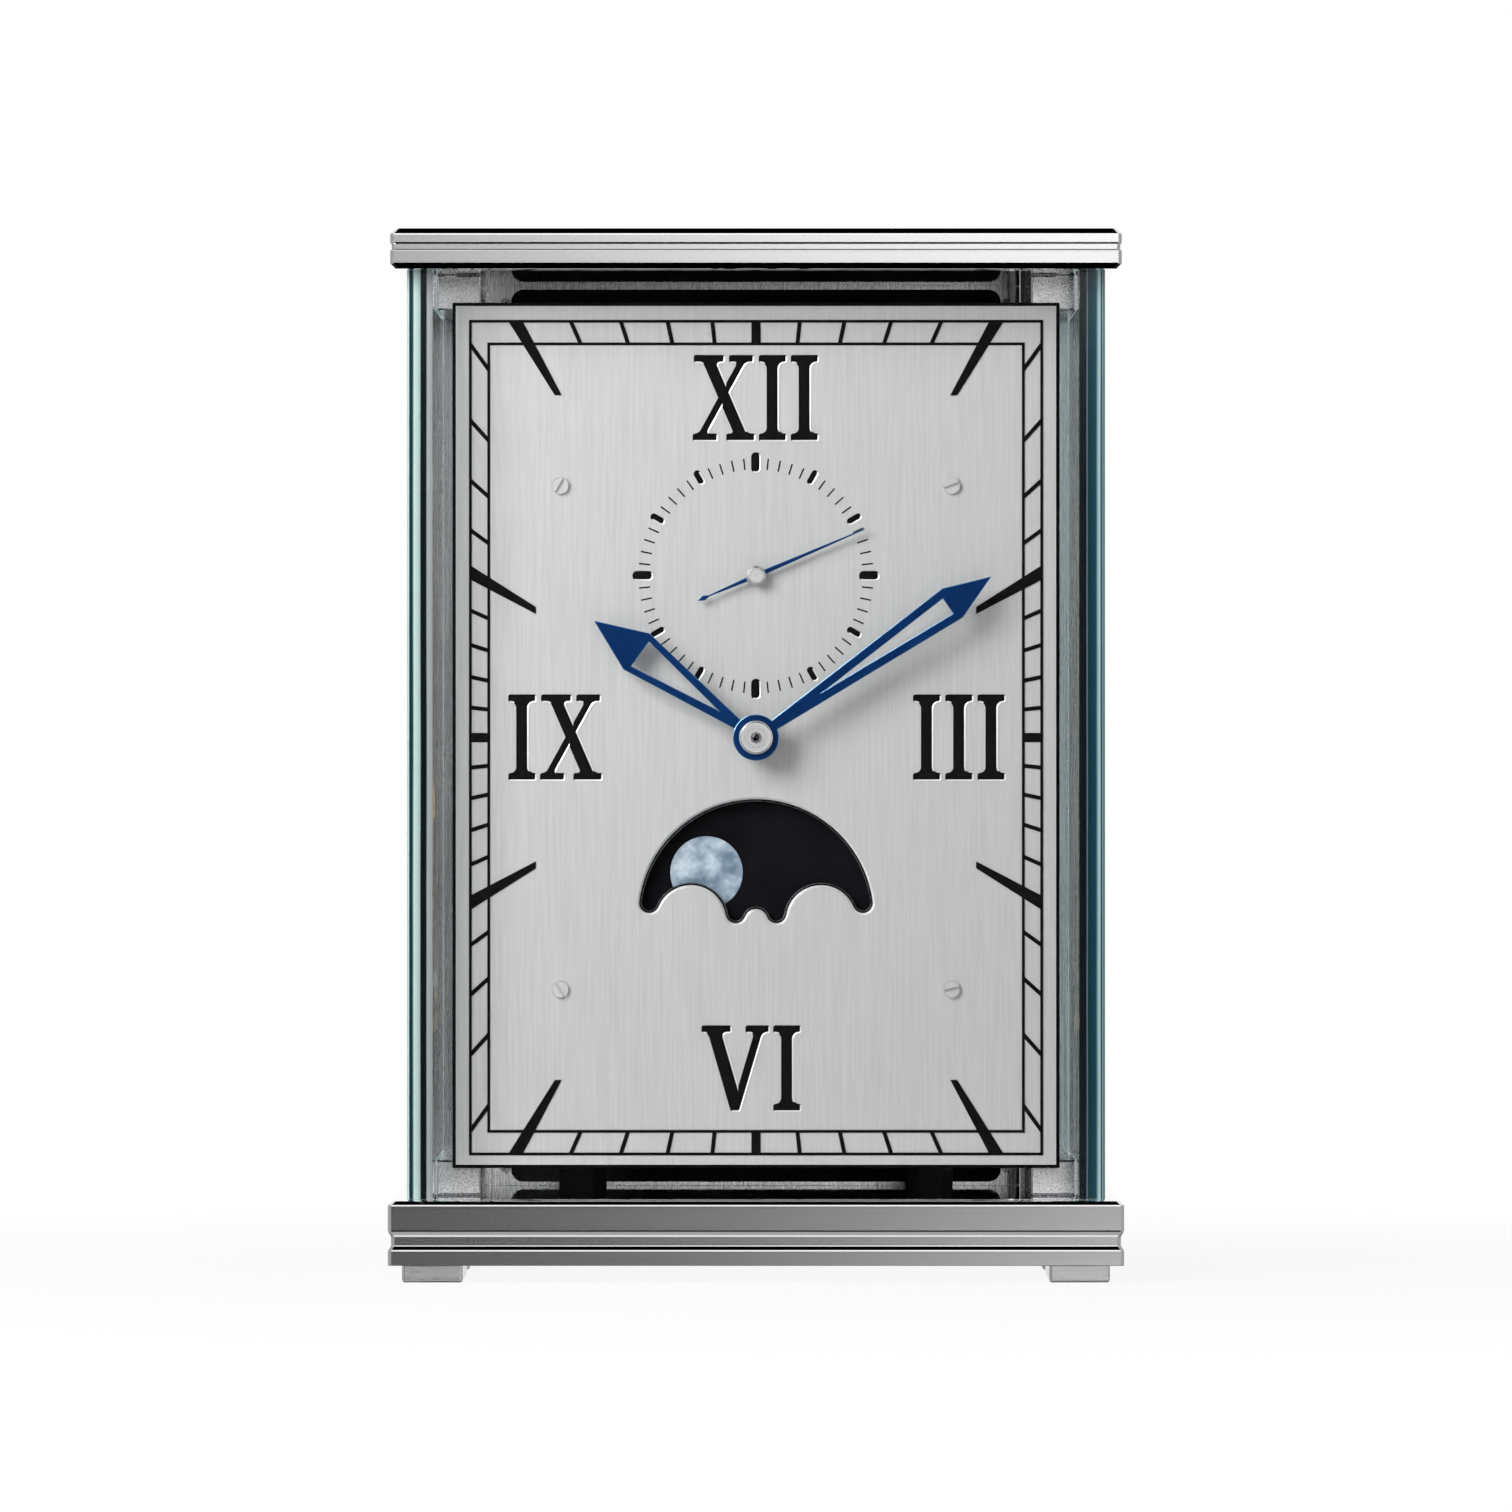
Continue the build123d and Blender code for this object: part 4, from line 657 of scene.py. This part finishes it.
def sink(shell, face):
    """Turns one flat face into a mark: a sloping wall, a black floor and a skirt to the dial."""
    if face.normal.y > 0:
        face.normal_flip()
    rim = list(face.edges)
    bmesh.ops.inset_individual(shell, faces=[face], thickness=wall_width,
                               depth=fill_height - wall_height, use_even_offset=True)
    face.material_index = 1
    for wall in shell.faces:
        if wall is not face:
            wall.normal_update()
            # walls facing the light get the pale silver of the painted highlight, the others black as
            # painted shade
            wall.material_index = 0 if wall.normal.z - wall.normal.x > lit_from else 1
    lower_skirt(shell, rim)


def join_to(shell, part):
    """Adds one bmesh to another through a mesh that is thrown away."""
    carrier = bpy.data.meshes.new("carrier")
    part.to_mesh(carrier)
    part.free()
    shell.from_mesh(carrier)
    bpy.data.meshes.remove(carrier)


def add_mark(shell, points, radii):
    """A rounded face in a bmesh of its own, sunk, and then joined to the others."""
    mark = bmesh.new()
    rounded_face(mark, points, radii)
    mark.faces.ensure_lookup_table()
    mark.normal_update()
    sink(mark, mark.faces[0])
    join_to(shell, mark)


print("mark helpers ready")

# %% [markdown]
# ## Roman numerals
#
# A letter is made of strokes, each given by its place at the top, its place at the bottom and its
# width, and of serifs. These numbers are shares of the letter's height, so the letters keep their
# proportions at any size. Where two strokes cross, the outline turns at the crossing of their edges,
# so a small function finds that point. The outline is drawn a wall's width larger than the black,
# because the wall takes that width away again.

# %% Roman numerals
letter_height = 14.8 * mm
serif_height = 0.92 * mm
bracket = 1.05 * mm         # the rounding where a serif meets its stroke
serif_end = 0.40 * mm
tip_round = 0.3 * mm
hand_axis_z = 95.7 * mm


class Stroke:
    """A straight stroke that may lean."""

    def __init__(self, top, bottom, width):
        self.top = top * letter_height
        self.bottom = bottom * letter_height
        self.half = width * letter_height / 2 + wall_width

    def edge(self, side, z):
        """Where its left or right edge is at a height."""
        along = 0.5 - z / letter_height
        return self.top + (self.bottom - self.top) * along + side * self.half

    def crossing(self, side, other, other_side):
        """The sharp corner where one of its edges crosses an edge of another stroke."""
        slope = self.top - self.bottom
        other_slope = other.top - other.bottom
        start = self.edge(side, 0)
        other_start = other.edge(other_side, 0)
        z = (other_start - start) / (slope - other_slope) * letter_height
        return [(self.edge(side, z), z)], [0]


half = letter_height / 2 + wall_width                    # height of a serif's outer edge
inner = letter_height / 2 - serif_height - wall_width    # and of its inner edge


def serif(stroke, level, middle, length):
    """A serif at a stroke's top (level 1, left to right) or its bottom (level -1, right to left)."""
    left = (middle - length / 2) * letter_height - wall_width
    right = (middle + length / 2) * letter_height + wall_width
    base, tip = level * inner, level * half
    points = [(stroke.edge(-1, base), base), (left, base), (left, tip),
              (right, tip), (right, base), (stroke.edge(1, base), base)]
    return points[::level], [bracket, serif_end, serif_end, serif_end, serif_end, bracket]


def outline(*parts):
    """Joins (points, radii) parts into one outline."""
    points = [point for part in parts for point in part[0]]
    radii = [radius for part in parts for radius in part[1]]
    return points, radii


def letter_i():
    """One upright stroke between two serifs."""
    stem = Stroke(0, 0, 0.115)
    return outline(serif(stem, 1, 0, 0.305), serif(stem, -1, 0, 0.305))


def letter_x():
    """A thick stroke crossed by a thin one, with a serif at each of the four ends."""
    thick = Stroke(-0.203, 0.230, 0.135)
    thin = Stroke(0.252, -0.297, 0.074)
    return outline(
        serif(thick, 1, -0.180, 0.338), thick.crossing(1, thin, -1),
        serif(thin, 1, 0.205, 0.267), thick.crossing(1, thin, 1),
        serif(thick, -1, 0.197, 0.318), thick.crossing(-1, thin, 1),
        serif(thin, -1, -0.227, 0.270), thick.crossing(-1, thin, -1),
    )


def letter_v():
    """A thick and a thin stroke that meet in a blunt tip."""
    thick = Stroke(-0.266, 0.024, 0.145)
    thin = Stroke(0.297, 0.0, 0.081)
    tip = [(thin.edge(1, -half), -half), (thick.edge(-1, -half), -half)]
    return outline(serif(thick, 1, -0.229, 0.329), thick.crossing(1, thin, -1),
                   serif(thin, 1, 0.261, 0.259), (tip, [tip_round, tip_round]))


shapes = {"I": letter_i(), "V": letter_v(), "X": letter_x()}
top_row = hand_axis_z + 60.0 * mm
side_row = hand_axis_z
bottom_row = hand_axis_z - 58.5 * mm
letter_shift = 0.15     # all letters stand this far to the right, in mm
# Letter, its middle from the hand axis in mm, and its row.
letters = [
    ("X", -5.75, top_row), ("I", 2.83, top_row), ("I", 8.49, top_row),
    ("I", 30.1, side_row), ("I", 35.8, side_row), ("I", 41.5, side_row),
    ("V", -3.72, bottom_row), ("I", 5.38, bottom_row),
    ("I", -41.45, side_row), ("X", -32.75, side_row),
]
shell = bmesh.new()
for shape, x, z in letters:
    points, radii = shapes[shape]
    add_mark(shell, [(px + (x + letter_shift) * mm, pz + z) for px, pz in points], radii)
numerals = stands_for(shell, "dial_numerals", "case", [rim_silver_highlight, enamel_and_painted_shade], "numerals")
print("numerals", len(letters), "letters,", len(numerals.data.polygons), "faces")

# %% [markdown]
# ## Seconds circle
#
# The bars at each five seconds are sunk in the same way, with round ends. Between them stand
# forty-eight thin ticks, which are only printed: each is one flat sliver just above the dial, with a
# skirt down to it, turned into place.

# %% Seconds circle
seconds_axis_z = hand_axis_z + 28.6 * mm
tick_inner, tick_outer, tick_width = 18.8 * mm, 20.8 * mm, 0.27 * mm
five_second_bar, quarter_bar = (18.9, 21.2, 0.75), (18.45, 21.6, 1.24)    # start, end, width in mm
round_share = 0.93      # how much of half a bar's width its corners are rounded


def turned_about(points, angle, centre_z):
    """Points turned clockwise about an axis of the dial, as seen from the front."""
    turn = math.radians(angle)
    return [(x * math.cos(turn) + z * math.sin(turn), centre_z + z * math.cos(turn) - x * math.sin(turn))
            for x, z in points]


def bar(start, end, width):
    """Corners of an upright bar above the axis."""
    side = width / 2
    return [(-side, start), (side, start), (side, end), (-side, end)]


shell = bmesh.new()
for mark in range(12):
    start, end, width = five_second_bar if mark % 3 else quarter_bar
    corners = bar(start * mm - wall_width, end * mm + wall_width, width * mm + 2 * wall_width)
    radius = (width * mm / 2 + wall_width) * round_share
    add_mark(shell, turned_about(corners, mark * 30, seconds_axis_z), [radius] * 4)
for second in range(60):
    if second % 5:
        corners = turned_about(bar(tick_inner, tick_outer, tick_width), second * 6, seconds_axis_z)
        tick = shell.faces.new([shell.verts.new((x, dial_face_y - fill_height, z)) for x, z in corners])
        tick.normal_update()
        if tick.normal.y > 0:
            tick.normal_flip()
        tick.material_index = 1
        for side in lower_skirt(shell, tick.edges):
            if isinstance(side, bmesh.types.BMFace):
                side.material_index = 1
seconds_marks = stands_for(shell, "seconds_track", "case", [rim_silver_highlight, enamel_and_painted_shade], "seconds_marks")
print("seconds circle", len(seconds_marks.data.polygons), "faces")

# %% [markdown]
# ## Bevel round the moon aperture
#
# The dial's aperture has a sloping edge that shines at its lower and right sides; the whole ring is
# painted a paler silver than the dial as a highlight. The outline is already in the CAD model as the
# wall of the hole, so the copy keeps only that wall, closes its front loop with one face, insets that
# face, and drops the middle. What is left is the sloping ring. The backing's smaller aperture gets a
# narrower one in grey steel.

# %% Bevel round the moon aperture
aperture_side = 22 * mm                     # the aperture's walls lie within this of the middle
aperture_low, aperture_high = 56 * mm, 87 * mm


def in_aperture(face):
    """Whether a face belongs to the wall of the aperture."""
    middle = face.calc_center_median()
    upright_wall = abs(face.normal.y) < 0.1
    return upright_wall and abs(middle.x) < aperture_side and aperture_low < middle.z < aperture_high


def aperture_ring(node, size):
    """A ring that slopes at 45 degrees inside the aperture of a plate."""
    face_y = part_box(node)[0].y
    shell = welded(node)
    outside = [face for face in shell.faces if not in_aperture(face)]
    bmesh.ops.delete(shell, geom=outside, context="FACES")
    walls = list(shell.faces)
    front = [e for e in shell.edges if all(abs(v.co.y - face_y) < 10 * micron for v in e.verts)]
    lid = bmesh.ops.contextual_create(shell, geom=front)["faces"][0]
    bmesh.ops.delete(shell, geom=walls, context="FACES")
    if lid.normal.y > 0:
        lid.normal_flip()
    bmesh.ops.inset_individual(shell, faces=[lid], thickness=size, depth=-size, use_even_offset=True)
    bmesh.ops.delete(shell, geom=[lid], context="FACES_ONLY")
    return shell


dial_ring = placed(aperture_ring("dial_plate", 0.32 * mm), "aperture_bevel", "case",
                   [rim_silver_highlight])
backing_ring = placed(aperture_ring("dial_backing", 0.14 * mm), "backing_bevel", "case",
                      [grey_steel])
print("aperture rings", len(dial_ring.data.polygons), len(backing_ring.data.polygons))

# %% [markdown]
# ## Screw heads
#
# Four slotted heads hold the dial and four smaller ones the door's panel, each left with its slot
# where the screw came tight. A head is a disc that is cut along both sides of the slot: the two cheeks
# are raised and the strip between them stays low. The narrow bevel round each cheek is painted black
# as shade, so it draws the thin outline of the head.

# %% Screw heads
# Each head's radius, rise, half the slot's width and the height of the slot's floor.
dial_head = [size * mm for size in (1.5, 0.6, 0.19, 0.25)]
door_head = [size * mm for size in (0.9, 0.5, 0.14, 0.2)]
outline_share = 0.07        # the bevel's width as a share of the radius


def turn_head(head, angle, axis):
    """Turns a head about one of the axes through its seat."""
    bmesh.ops.rotate(head, verts=head.verts, cent=(0, 0, 0),
                     matrix=Matrix.Rotation(math.radians(angle), 3, axis))


def slotted_head(radius, rise, slot, floor):
    """A slotted screw head round the Y axis, standing on the plane y = 0."""
    head = bmesh.new()
    bmesh.ops.create_circle(head, cap_ends=True, radius=radius, segments=40)
    for offset in (slot, -slot):
        bmesh.ops.bisect_plane(head, geom=head.verts[:] + head.edges[:] + head.faces[:],
                               plane_co=(offset, 0, 0), plane_no=(1, 0, 0))
    for face in head.faces[:]:
        strip = abs(face.calc_center_median().x) < slot * 0.5
        risen = bmesh.ops.extrude_discrete_faces(head, faces=[face])["faces"][0]
        bmesh.ops.translate(head, vec=(0, 0, floor if strip else rise), verts=risen.verts)
    tops = [f for f in head.faces if f.normal.z > 0.9 and f.calc_center_median().z > rise * 0.9]
    edges = {e for f in tops for e in f.edges}
    # the bevel round the cheeks takes the second material: black, painted as shade
    bevelled(head, list(edges), radius * outline_share, 1, material=1)
    turn_head(head, 90, "X")
    return head


def set_of_screws(node, head_sizes, finish, body, seat_y, places):
    """Several slotted heads as one piece that stands for a CAD node."""
    shell = bmesh.new()
    for x, z, angle in places:
        head = slotted_head(*head_sizes)
        turn_head(head, angle, "Y")
        bmesh.ops.translate(head, vec=(x * mm, seat_y, z * mm), verts=head.verts)
        join_to(shell, head)
    bmesh.ops.recalc_face_normals(shell, faces=shell.faces)
    # the second finish is the black painted as shade on the heads' bevels
    heads = stands_for(shell, node, body, [finish, lacquer_and_painted_shade], node[:-1] + "_heads")
    print(node, len(heads.data.polygons), "faces")


# The places are x and z in mm and the slot's angle in degrees.
screw_x, upper_z, lower_z = 34.6, hand_axis_z / mm + 44.5, hand_axis_z / mm - 44.5
set_of_screws("dial_screws", dial_head, silvered_dial, "case", dial_face_y,
              [(-screw_x, upper_z, 30), (screw_x, upper_z, 68),
               (-screw_x, lower_z, -35), (screw_x, lower_z, 78)])
panel_y = 31.95 * mm
set_of_screws("door_screws", door_head, grey_steel, "door", panel_y,
              [(-45.5, 17.6, 30), (45.5, 17.6, 120), (-45.5, 174.7, 60), (45.5, 174.7, 10)])

# %% [markdown]
# ## Hands
#
# The hands keep their CAD outline. Their copies get a narrow bevel in the paler blue of the painted
# highlight. The cap over the minute hand is turned steel: its rings come from a wave about the hand
# axis, and the dark domed end of the arbor stands in its middle. The seconds hand is one node with its
# hub, so the faces of the hub are found by their distance from the axis and get turned steel as a third
# material.

# %% Hands
hand_bevel, seconds_bevel = 0.10 * mm, 0.04 * mm
pale_steel = (0.80, 0.80, 0.81)
dressed("minute_hand", blued_steel, hand_bevel, blued_edge_highlight, "minute_hand_train")
dressed("hour_hand", blued_steel, hand_bevel, blued_edge_highlight, "hour_hand_train")
cap_metal = turned_metal("turned_cap", pale_steel, (0, hand_axis_z), 0.34, ring=0.28 * mm,
                         streak=0.05, depth=0.2 * micron)
dressed("hand_cap", cap_metal, thin_bevel, bright_steel, "minute_hand_train")

pin_radius, pin_y, pin_flatness = 0.72 * mm, -29.25 * mm, 0.45
pin_end = bmesh.new()
bmesh.ops.create_uvsphere(pin_end, u_segments=24, v_segments=12, radius=pin_radius)
bmesh.ops.scale(pin_end, vec=(1, pin_flatness, 1), verts=pin_end.verts)
bmesh.ops.translate(pin_end, vec=(0, pin_y, hand_axis_z), verts=pin_end.verts)
placed(pin_end, "arbor_end", "minute_hand_train", [dark_steel])

hub_radius, hub_front_y = 1.76 * mm, -23.61 * mm
hub_metal = turned_metal("turned_hub", pale_steel, (0, seconds_axis_z), 0.34, ring=0.2 * mm,
                         streak=0.05, depth=0.2 * micron)
shell = welded("seconds_hand")
break_edges(shell, seconds_bevel)
for face in shell.faces:
    middle = face.calc_center_median()
    if math.hypot(middle.x, middle.z - seconds_axis_z) < hub_radius and middle.y < hub_front_y:
        face.material_index = 2
stands_for(shell, "seconds_hand", "seconds_train", [blued_steel, blued_edge_highlight, hub_metal])
print("hands ready")

# %% [markdown]
# ## Moon and sky
#
# The moon disc is painted as a night sky, nearly black with a trace of violet, and carries two moons.
# A moon is a pale blue-grey disc. Large soft noise makes its dark plains, and finer noise, multiplied
# with it, crumbles its bright highlands and gives them their relief.

# %% Moon and sky
sky, sky_shader = new_material("night_sky", (0.004, 0.004, 0.006), 0, 0.75)
fill(sky_shader, {"Specular IOR Level": 0.08})
haze = grain(sky, (90, 90, 90), 5)
specks = grain(sky, (3500, 3500, 3500), 2)
dark = ramp(sky, haze, [(0.35, (0.0022, 0.0022, 0.0032)), (0.7, (0.0065, 0.0055, 0.0085))])
light = ramp(sky, specks, [(0.55, (0, 0, 0)), (0.85, (0.010, 0.009, 0.013))])
link(blended(sky, "ADD", dark, light), sky_shader.inputs["Base Color"])
relief(sky, sky_shader, specks, 3 * micron)

moon, moon_shader = new_material("moon_paint", (0.45, 0.53, 0.61), 0, 0.6)
plains = grain(moon, (230, 230, 230), 3)
highlands = grain(moon, (1100, 1100, 1100), 5)
plain_colour = ramp(moon, plains, [(0.36, (0.20, 0.29, 0.38)), (0.50, (0.43, 0.54, 0.65)),
                                   (0.64, (0.74, 0.84, 0.92))])
crumb_colour = ramp(moon, highlands, [(0.35, (0.72, 0.76, 0.80)), (0.70, (1.0, 1.0, 1.0))])
link(blended(moon, "MULTIPLY", plain_colour, crumb_colour), moon_shader.inputs["Base Color"])
relief(moon, moon_shader, highlands, 10 * micron)
finished(sky, "moon_disc")
dressed("moon_faces", moon, wall_bevel, moon, "moon_train")
print("moon ready")

# %% [markdown]
# ## Movement
#
# Brass plates, brass wheels that are turned about their own axes, and steel arbors, pillars and nuts.
# The black posts carry the seat board. Most of it is only seen from the sides through the glass, or
# from behind when the door stands open, so the CAD nodes stay as they are and only get their finish.
# Each wheel's axis is read from its joint.

# %% Movement
joint_at = {joint["name"]: joint["pos_m"] for joint in frame["joints"]}


def axis_of(joint):
    """A joint's axis as x and z."""
    return (joint_at[joint][0], joint_at[joint][2])


finished(plate_brass, "front_plate", "rear_plate", "seat_board")
finished(grey_steel, "plate_pillars", "pillar_nuts", "dial_pillars", "motion_studs", "click_screw",
         "centre_arbor", "cannon_pinion", "winding_arbor", "click", "pallet_lever")
finished(lacquer_and_painted_shade, "seat_posts")
wheels = {
    "centre_wheel": "minute", "hour_wheel": "hour", "minute_wheel": "minute_wheel",
    "moon_wheel_one": "moon_one", "moon_wheel_two": "moon_two", "moon_wheel": "moon",
    "third_wheel": "third", "seconds_arbor": "seconds", "barrel": "barrel",
    "escape_wheel": "escape", "balance_wheel": "balance",
}
for name, joint in wheels.items():
    finished(turned_metal("turned_" + name, brass_colour, axis_of(joint)), name)
finished(turned_metal("turned_ratchet", (0.55, 0.55, 0.56), axis_of("winding")), "ratchet_wheel")
print("movement ready")

# %% [markdown]
# ## Floor
#
# The floor is pale and matt, so it takes the clock's shadow. The camera sees it mostly as plain white,
# with a little less of that white close to the feet, where the shadow lies. Mirrored rays pass through
# the floor: what the metal mirrors comes from the surround alone.

# %% Floor
floor_size = 8
near, far = 0.05, 0.30      # metres from the middle of the clock
white_near, white_far = 0.90, 1.0
shell = bmesh.new()
bmesh.ops.create_grid(shell, x_segments=1, y_segments=1, size=floor_size)
floor_mesh = bpy.data.meshes.new("floor")
shell.to_mesh(floor_mesh)
shell.free()
added("floor", floor_mesh)

paint, paint_shader = new_material("floor_paint", (0.80, 0.80, 0.80), 0, 0.8)
seen = add_node(paint, "LightPath").outputs
white = add_node(paint, "Emission", {"Color": (1, 1, 1, 1), "Strength": 1})
spot = add_node(paint, "TexCoord")
reach = add_node(paint, "VectorMath", operation="LENGTH")
link(spot.outputs["Object"], reach.inputs[0])
whiteness = rescaled(paint, reach.outputs["Value"], white_near, white_far, near, far)
share = combined(paint, "MULTIPLY", seen["Is Camera Ray"], whiteness)
open_floor = add_node(paint, "BsdfTransparent")
lit_floor = mixed(paint, seen["Is Glossy Ray"], paint_shader.outputs["BSDF"],
                  open_floor.outputs["BSDF"])
link(mixed(paint, share, lit_floor, white.outputs["Emission"]),
     paint.node_tree.nodes["Material Output"].inputs["Surface"])
floor_mesh.materials.append(paint)
print("floor ready")

# %% [markdown]
# ## Surround
#
# The surround answers each kind of ray on its own. The camera sees plain white, also through the
# glass. Matt surfaces get a faint even light. Mirrored rays see a studio, whose parts are found by the
# direction they lie in: X runs to the right, Y away from the camera and Z up.
#
# - An upper card and a lower card stand beside the camera, brighter to the right. The steep strips of
#   the plates' bevels mirror them as thin bright lines. Both begin just above and below the height
#   that the upright faces and the front pane mirror, so that the glass stays clear.
# - A high card lights the steeper slopes from above, and a pale table lights those that face down.
# - The backdrop behind the clock is white, and dim walls stand at both sides.
# - Everything else is dark, so that polished slopes look black beside the satin faces.

# %% Surround
world = bpy.data.worlds.new("studio")
scene.world = world
world.use_nodes = True
ray = add_node(world, "LightPath").outputs
way = add_node(world, "TexCoord")
parts = add_node(world, "SeparateXYZ")
link(way.outputs["Generated"], parts.inputs["Vector"])
way_x, way_y, way_z = (parts.outputs[axis] for axis in "XYZ")
glossy = ray["Is Glossy Ray"]
ambient = 0.10


def eased(value, start, end, low, high):
    """A smooth step between two values of a direction."""
    return rescaled(world, value, low, high, start, end, "SMOOTHSTEP")


def product(first, second):
    """One part of the surround masked or weighed by another."""
    return combined(world, "MULTIPLY", first, second)


def brighter(first, second):
    """Whichever of two parts is the brighter."""
    return combined(world, "MAXIMUM", first, second)


upper_band = product(eased(way_z, 0.0455, 0.052, 0, 1), eased(way_z, 0.14, 0.22, 1, 0))
upper_card = product(upper_band, eased(way_x, -0.055, 0.02, 0.3, 3.0))
lower_band = product(eased(way_z, -0.052, -0.0455, 1, 0), eased(way_z, -0.22, -0.14, 0, 1))
lower_card = product(lower_band, eased(way_x, -0.002, 0.05, 0.06, 1.9))
high_card = product(eased(way_z, 0.55, 0.62, 0, 1.3), eased(way_z, 0.75, 0.82, 1, 0))
by_camera = eased(way_y, -0.6, -0.3, 1, 0.15)
cards = product(brighter(brighter(upper_card, high_card), lower_card), by_camera)
backdrop = eased(way_y, 0.3, 0.7, 0, 1)
not_overhead = eased(way_z, 0.85, 0.95, 1, 0)
not_below = eased(way_z, -0.65, -0.35, 0, 1)
around = product(brighter(cards, backdrop), product(not_overhead, not_below))
table = product(eased(way_z, -0.97, -0.95, 0, 1),
                product(eased(way_z, -0.90, -0.86, 1, 0.45), eased(way_z, -0.79, -0.75, 1, 0)))
sideways = combined(world, "ABSOLUTE", way_x)
walls = product(eased(sideways, 0.35, 0.60, 0, 0.45),
                product(not_overhead, eased(way_z, -0.8, -0.6, 0, 1)))
mirrored = brighter(combined(world, "ADD", table, around), walls)

direct = brighter(ray["Is Camera Ray"], ray["Is Transmission Ray"])
lighting = combined(world, "ADD", product(glossy, mirrored),
                    product(combined(world, "SUBTRACT", 1, glossy), ambient))
level = combined(world, "ADD", direct, product(combined(world, "SUBTRACT", 1, direct), lighting))
background = world.node_tree.nodes["Background"]
link(level, background.inputs["Color"])
fill(background, {"Strength": 1})
print("surround of", len(world.node_tree.nodes), "nodes")

# %% [markdown]
# ## Lights
#
# Three soft lamps light the dial. The main one stands close by at the upper left, so that the hands'
# shadows fall down and to the right and the dial darkens a little towards its lower right corner. The
# other two are weak and far off, and only fill the shadows.

# %% Lights
clock_middle = Vector((0, 0, 0.095))


def soft_light(name, place, width, height, watts):
    """A rectangular lamp that faces the middle of the clock."""
    lamp = bpy.data.lights.new(name, "AREA")
    lamp.shape = "RECTANGLE"
    lamp.size = width
    lamp.size_y = height
    lamp.energy = watts
    holder = added(name, lamp)
    holder.location = place
    holder.rotation_euler = (clock_middle - Vector(place)).to_track_quat("-Z", "Y").to_euler()


soft_light("key_light", (-0.36, -0.42, 0.36), 0.34, 0.34, 3.9)
soft_light("right_light", (1.5, -1.5, 0.35), 0.6, 0.9, 0.3)
soft_light("front_light", (0.2, -2.6, 1.5), 2.2, 1.0, 0.4)

scene.view_settings.view_transform = "Standard"
print("lights ready")
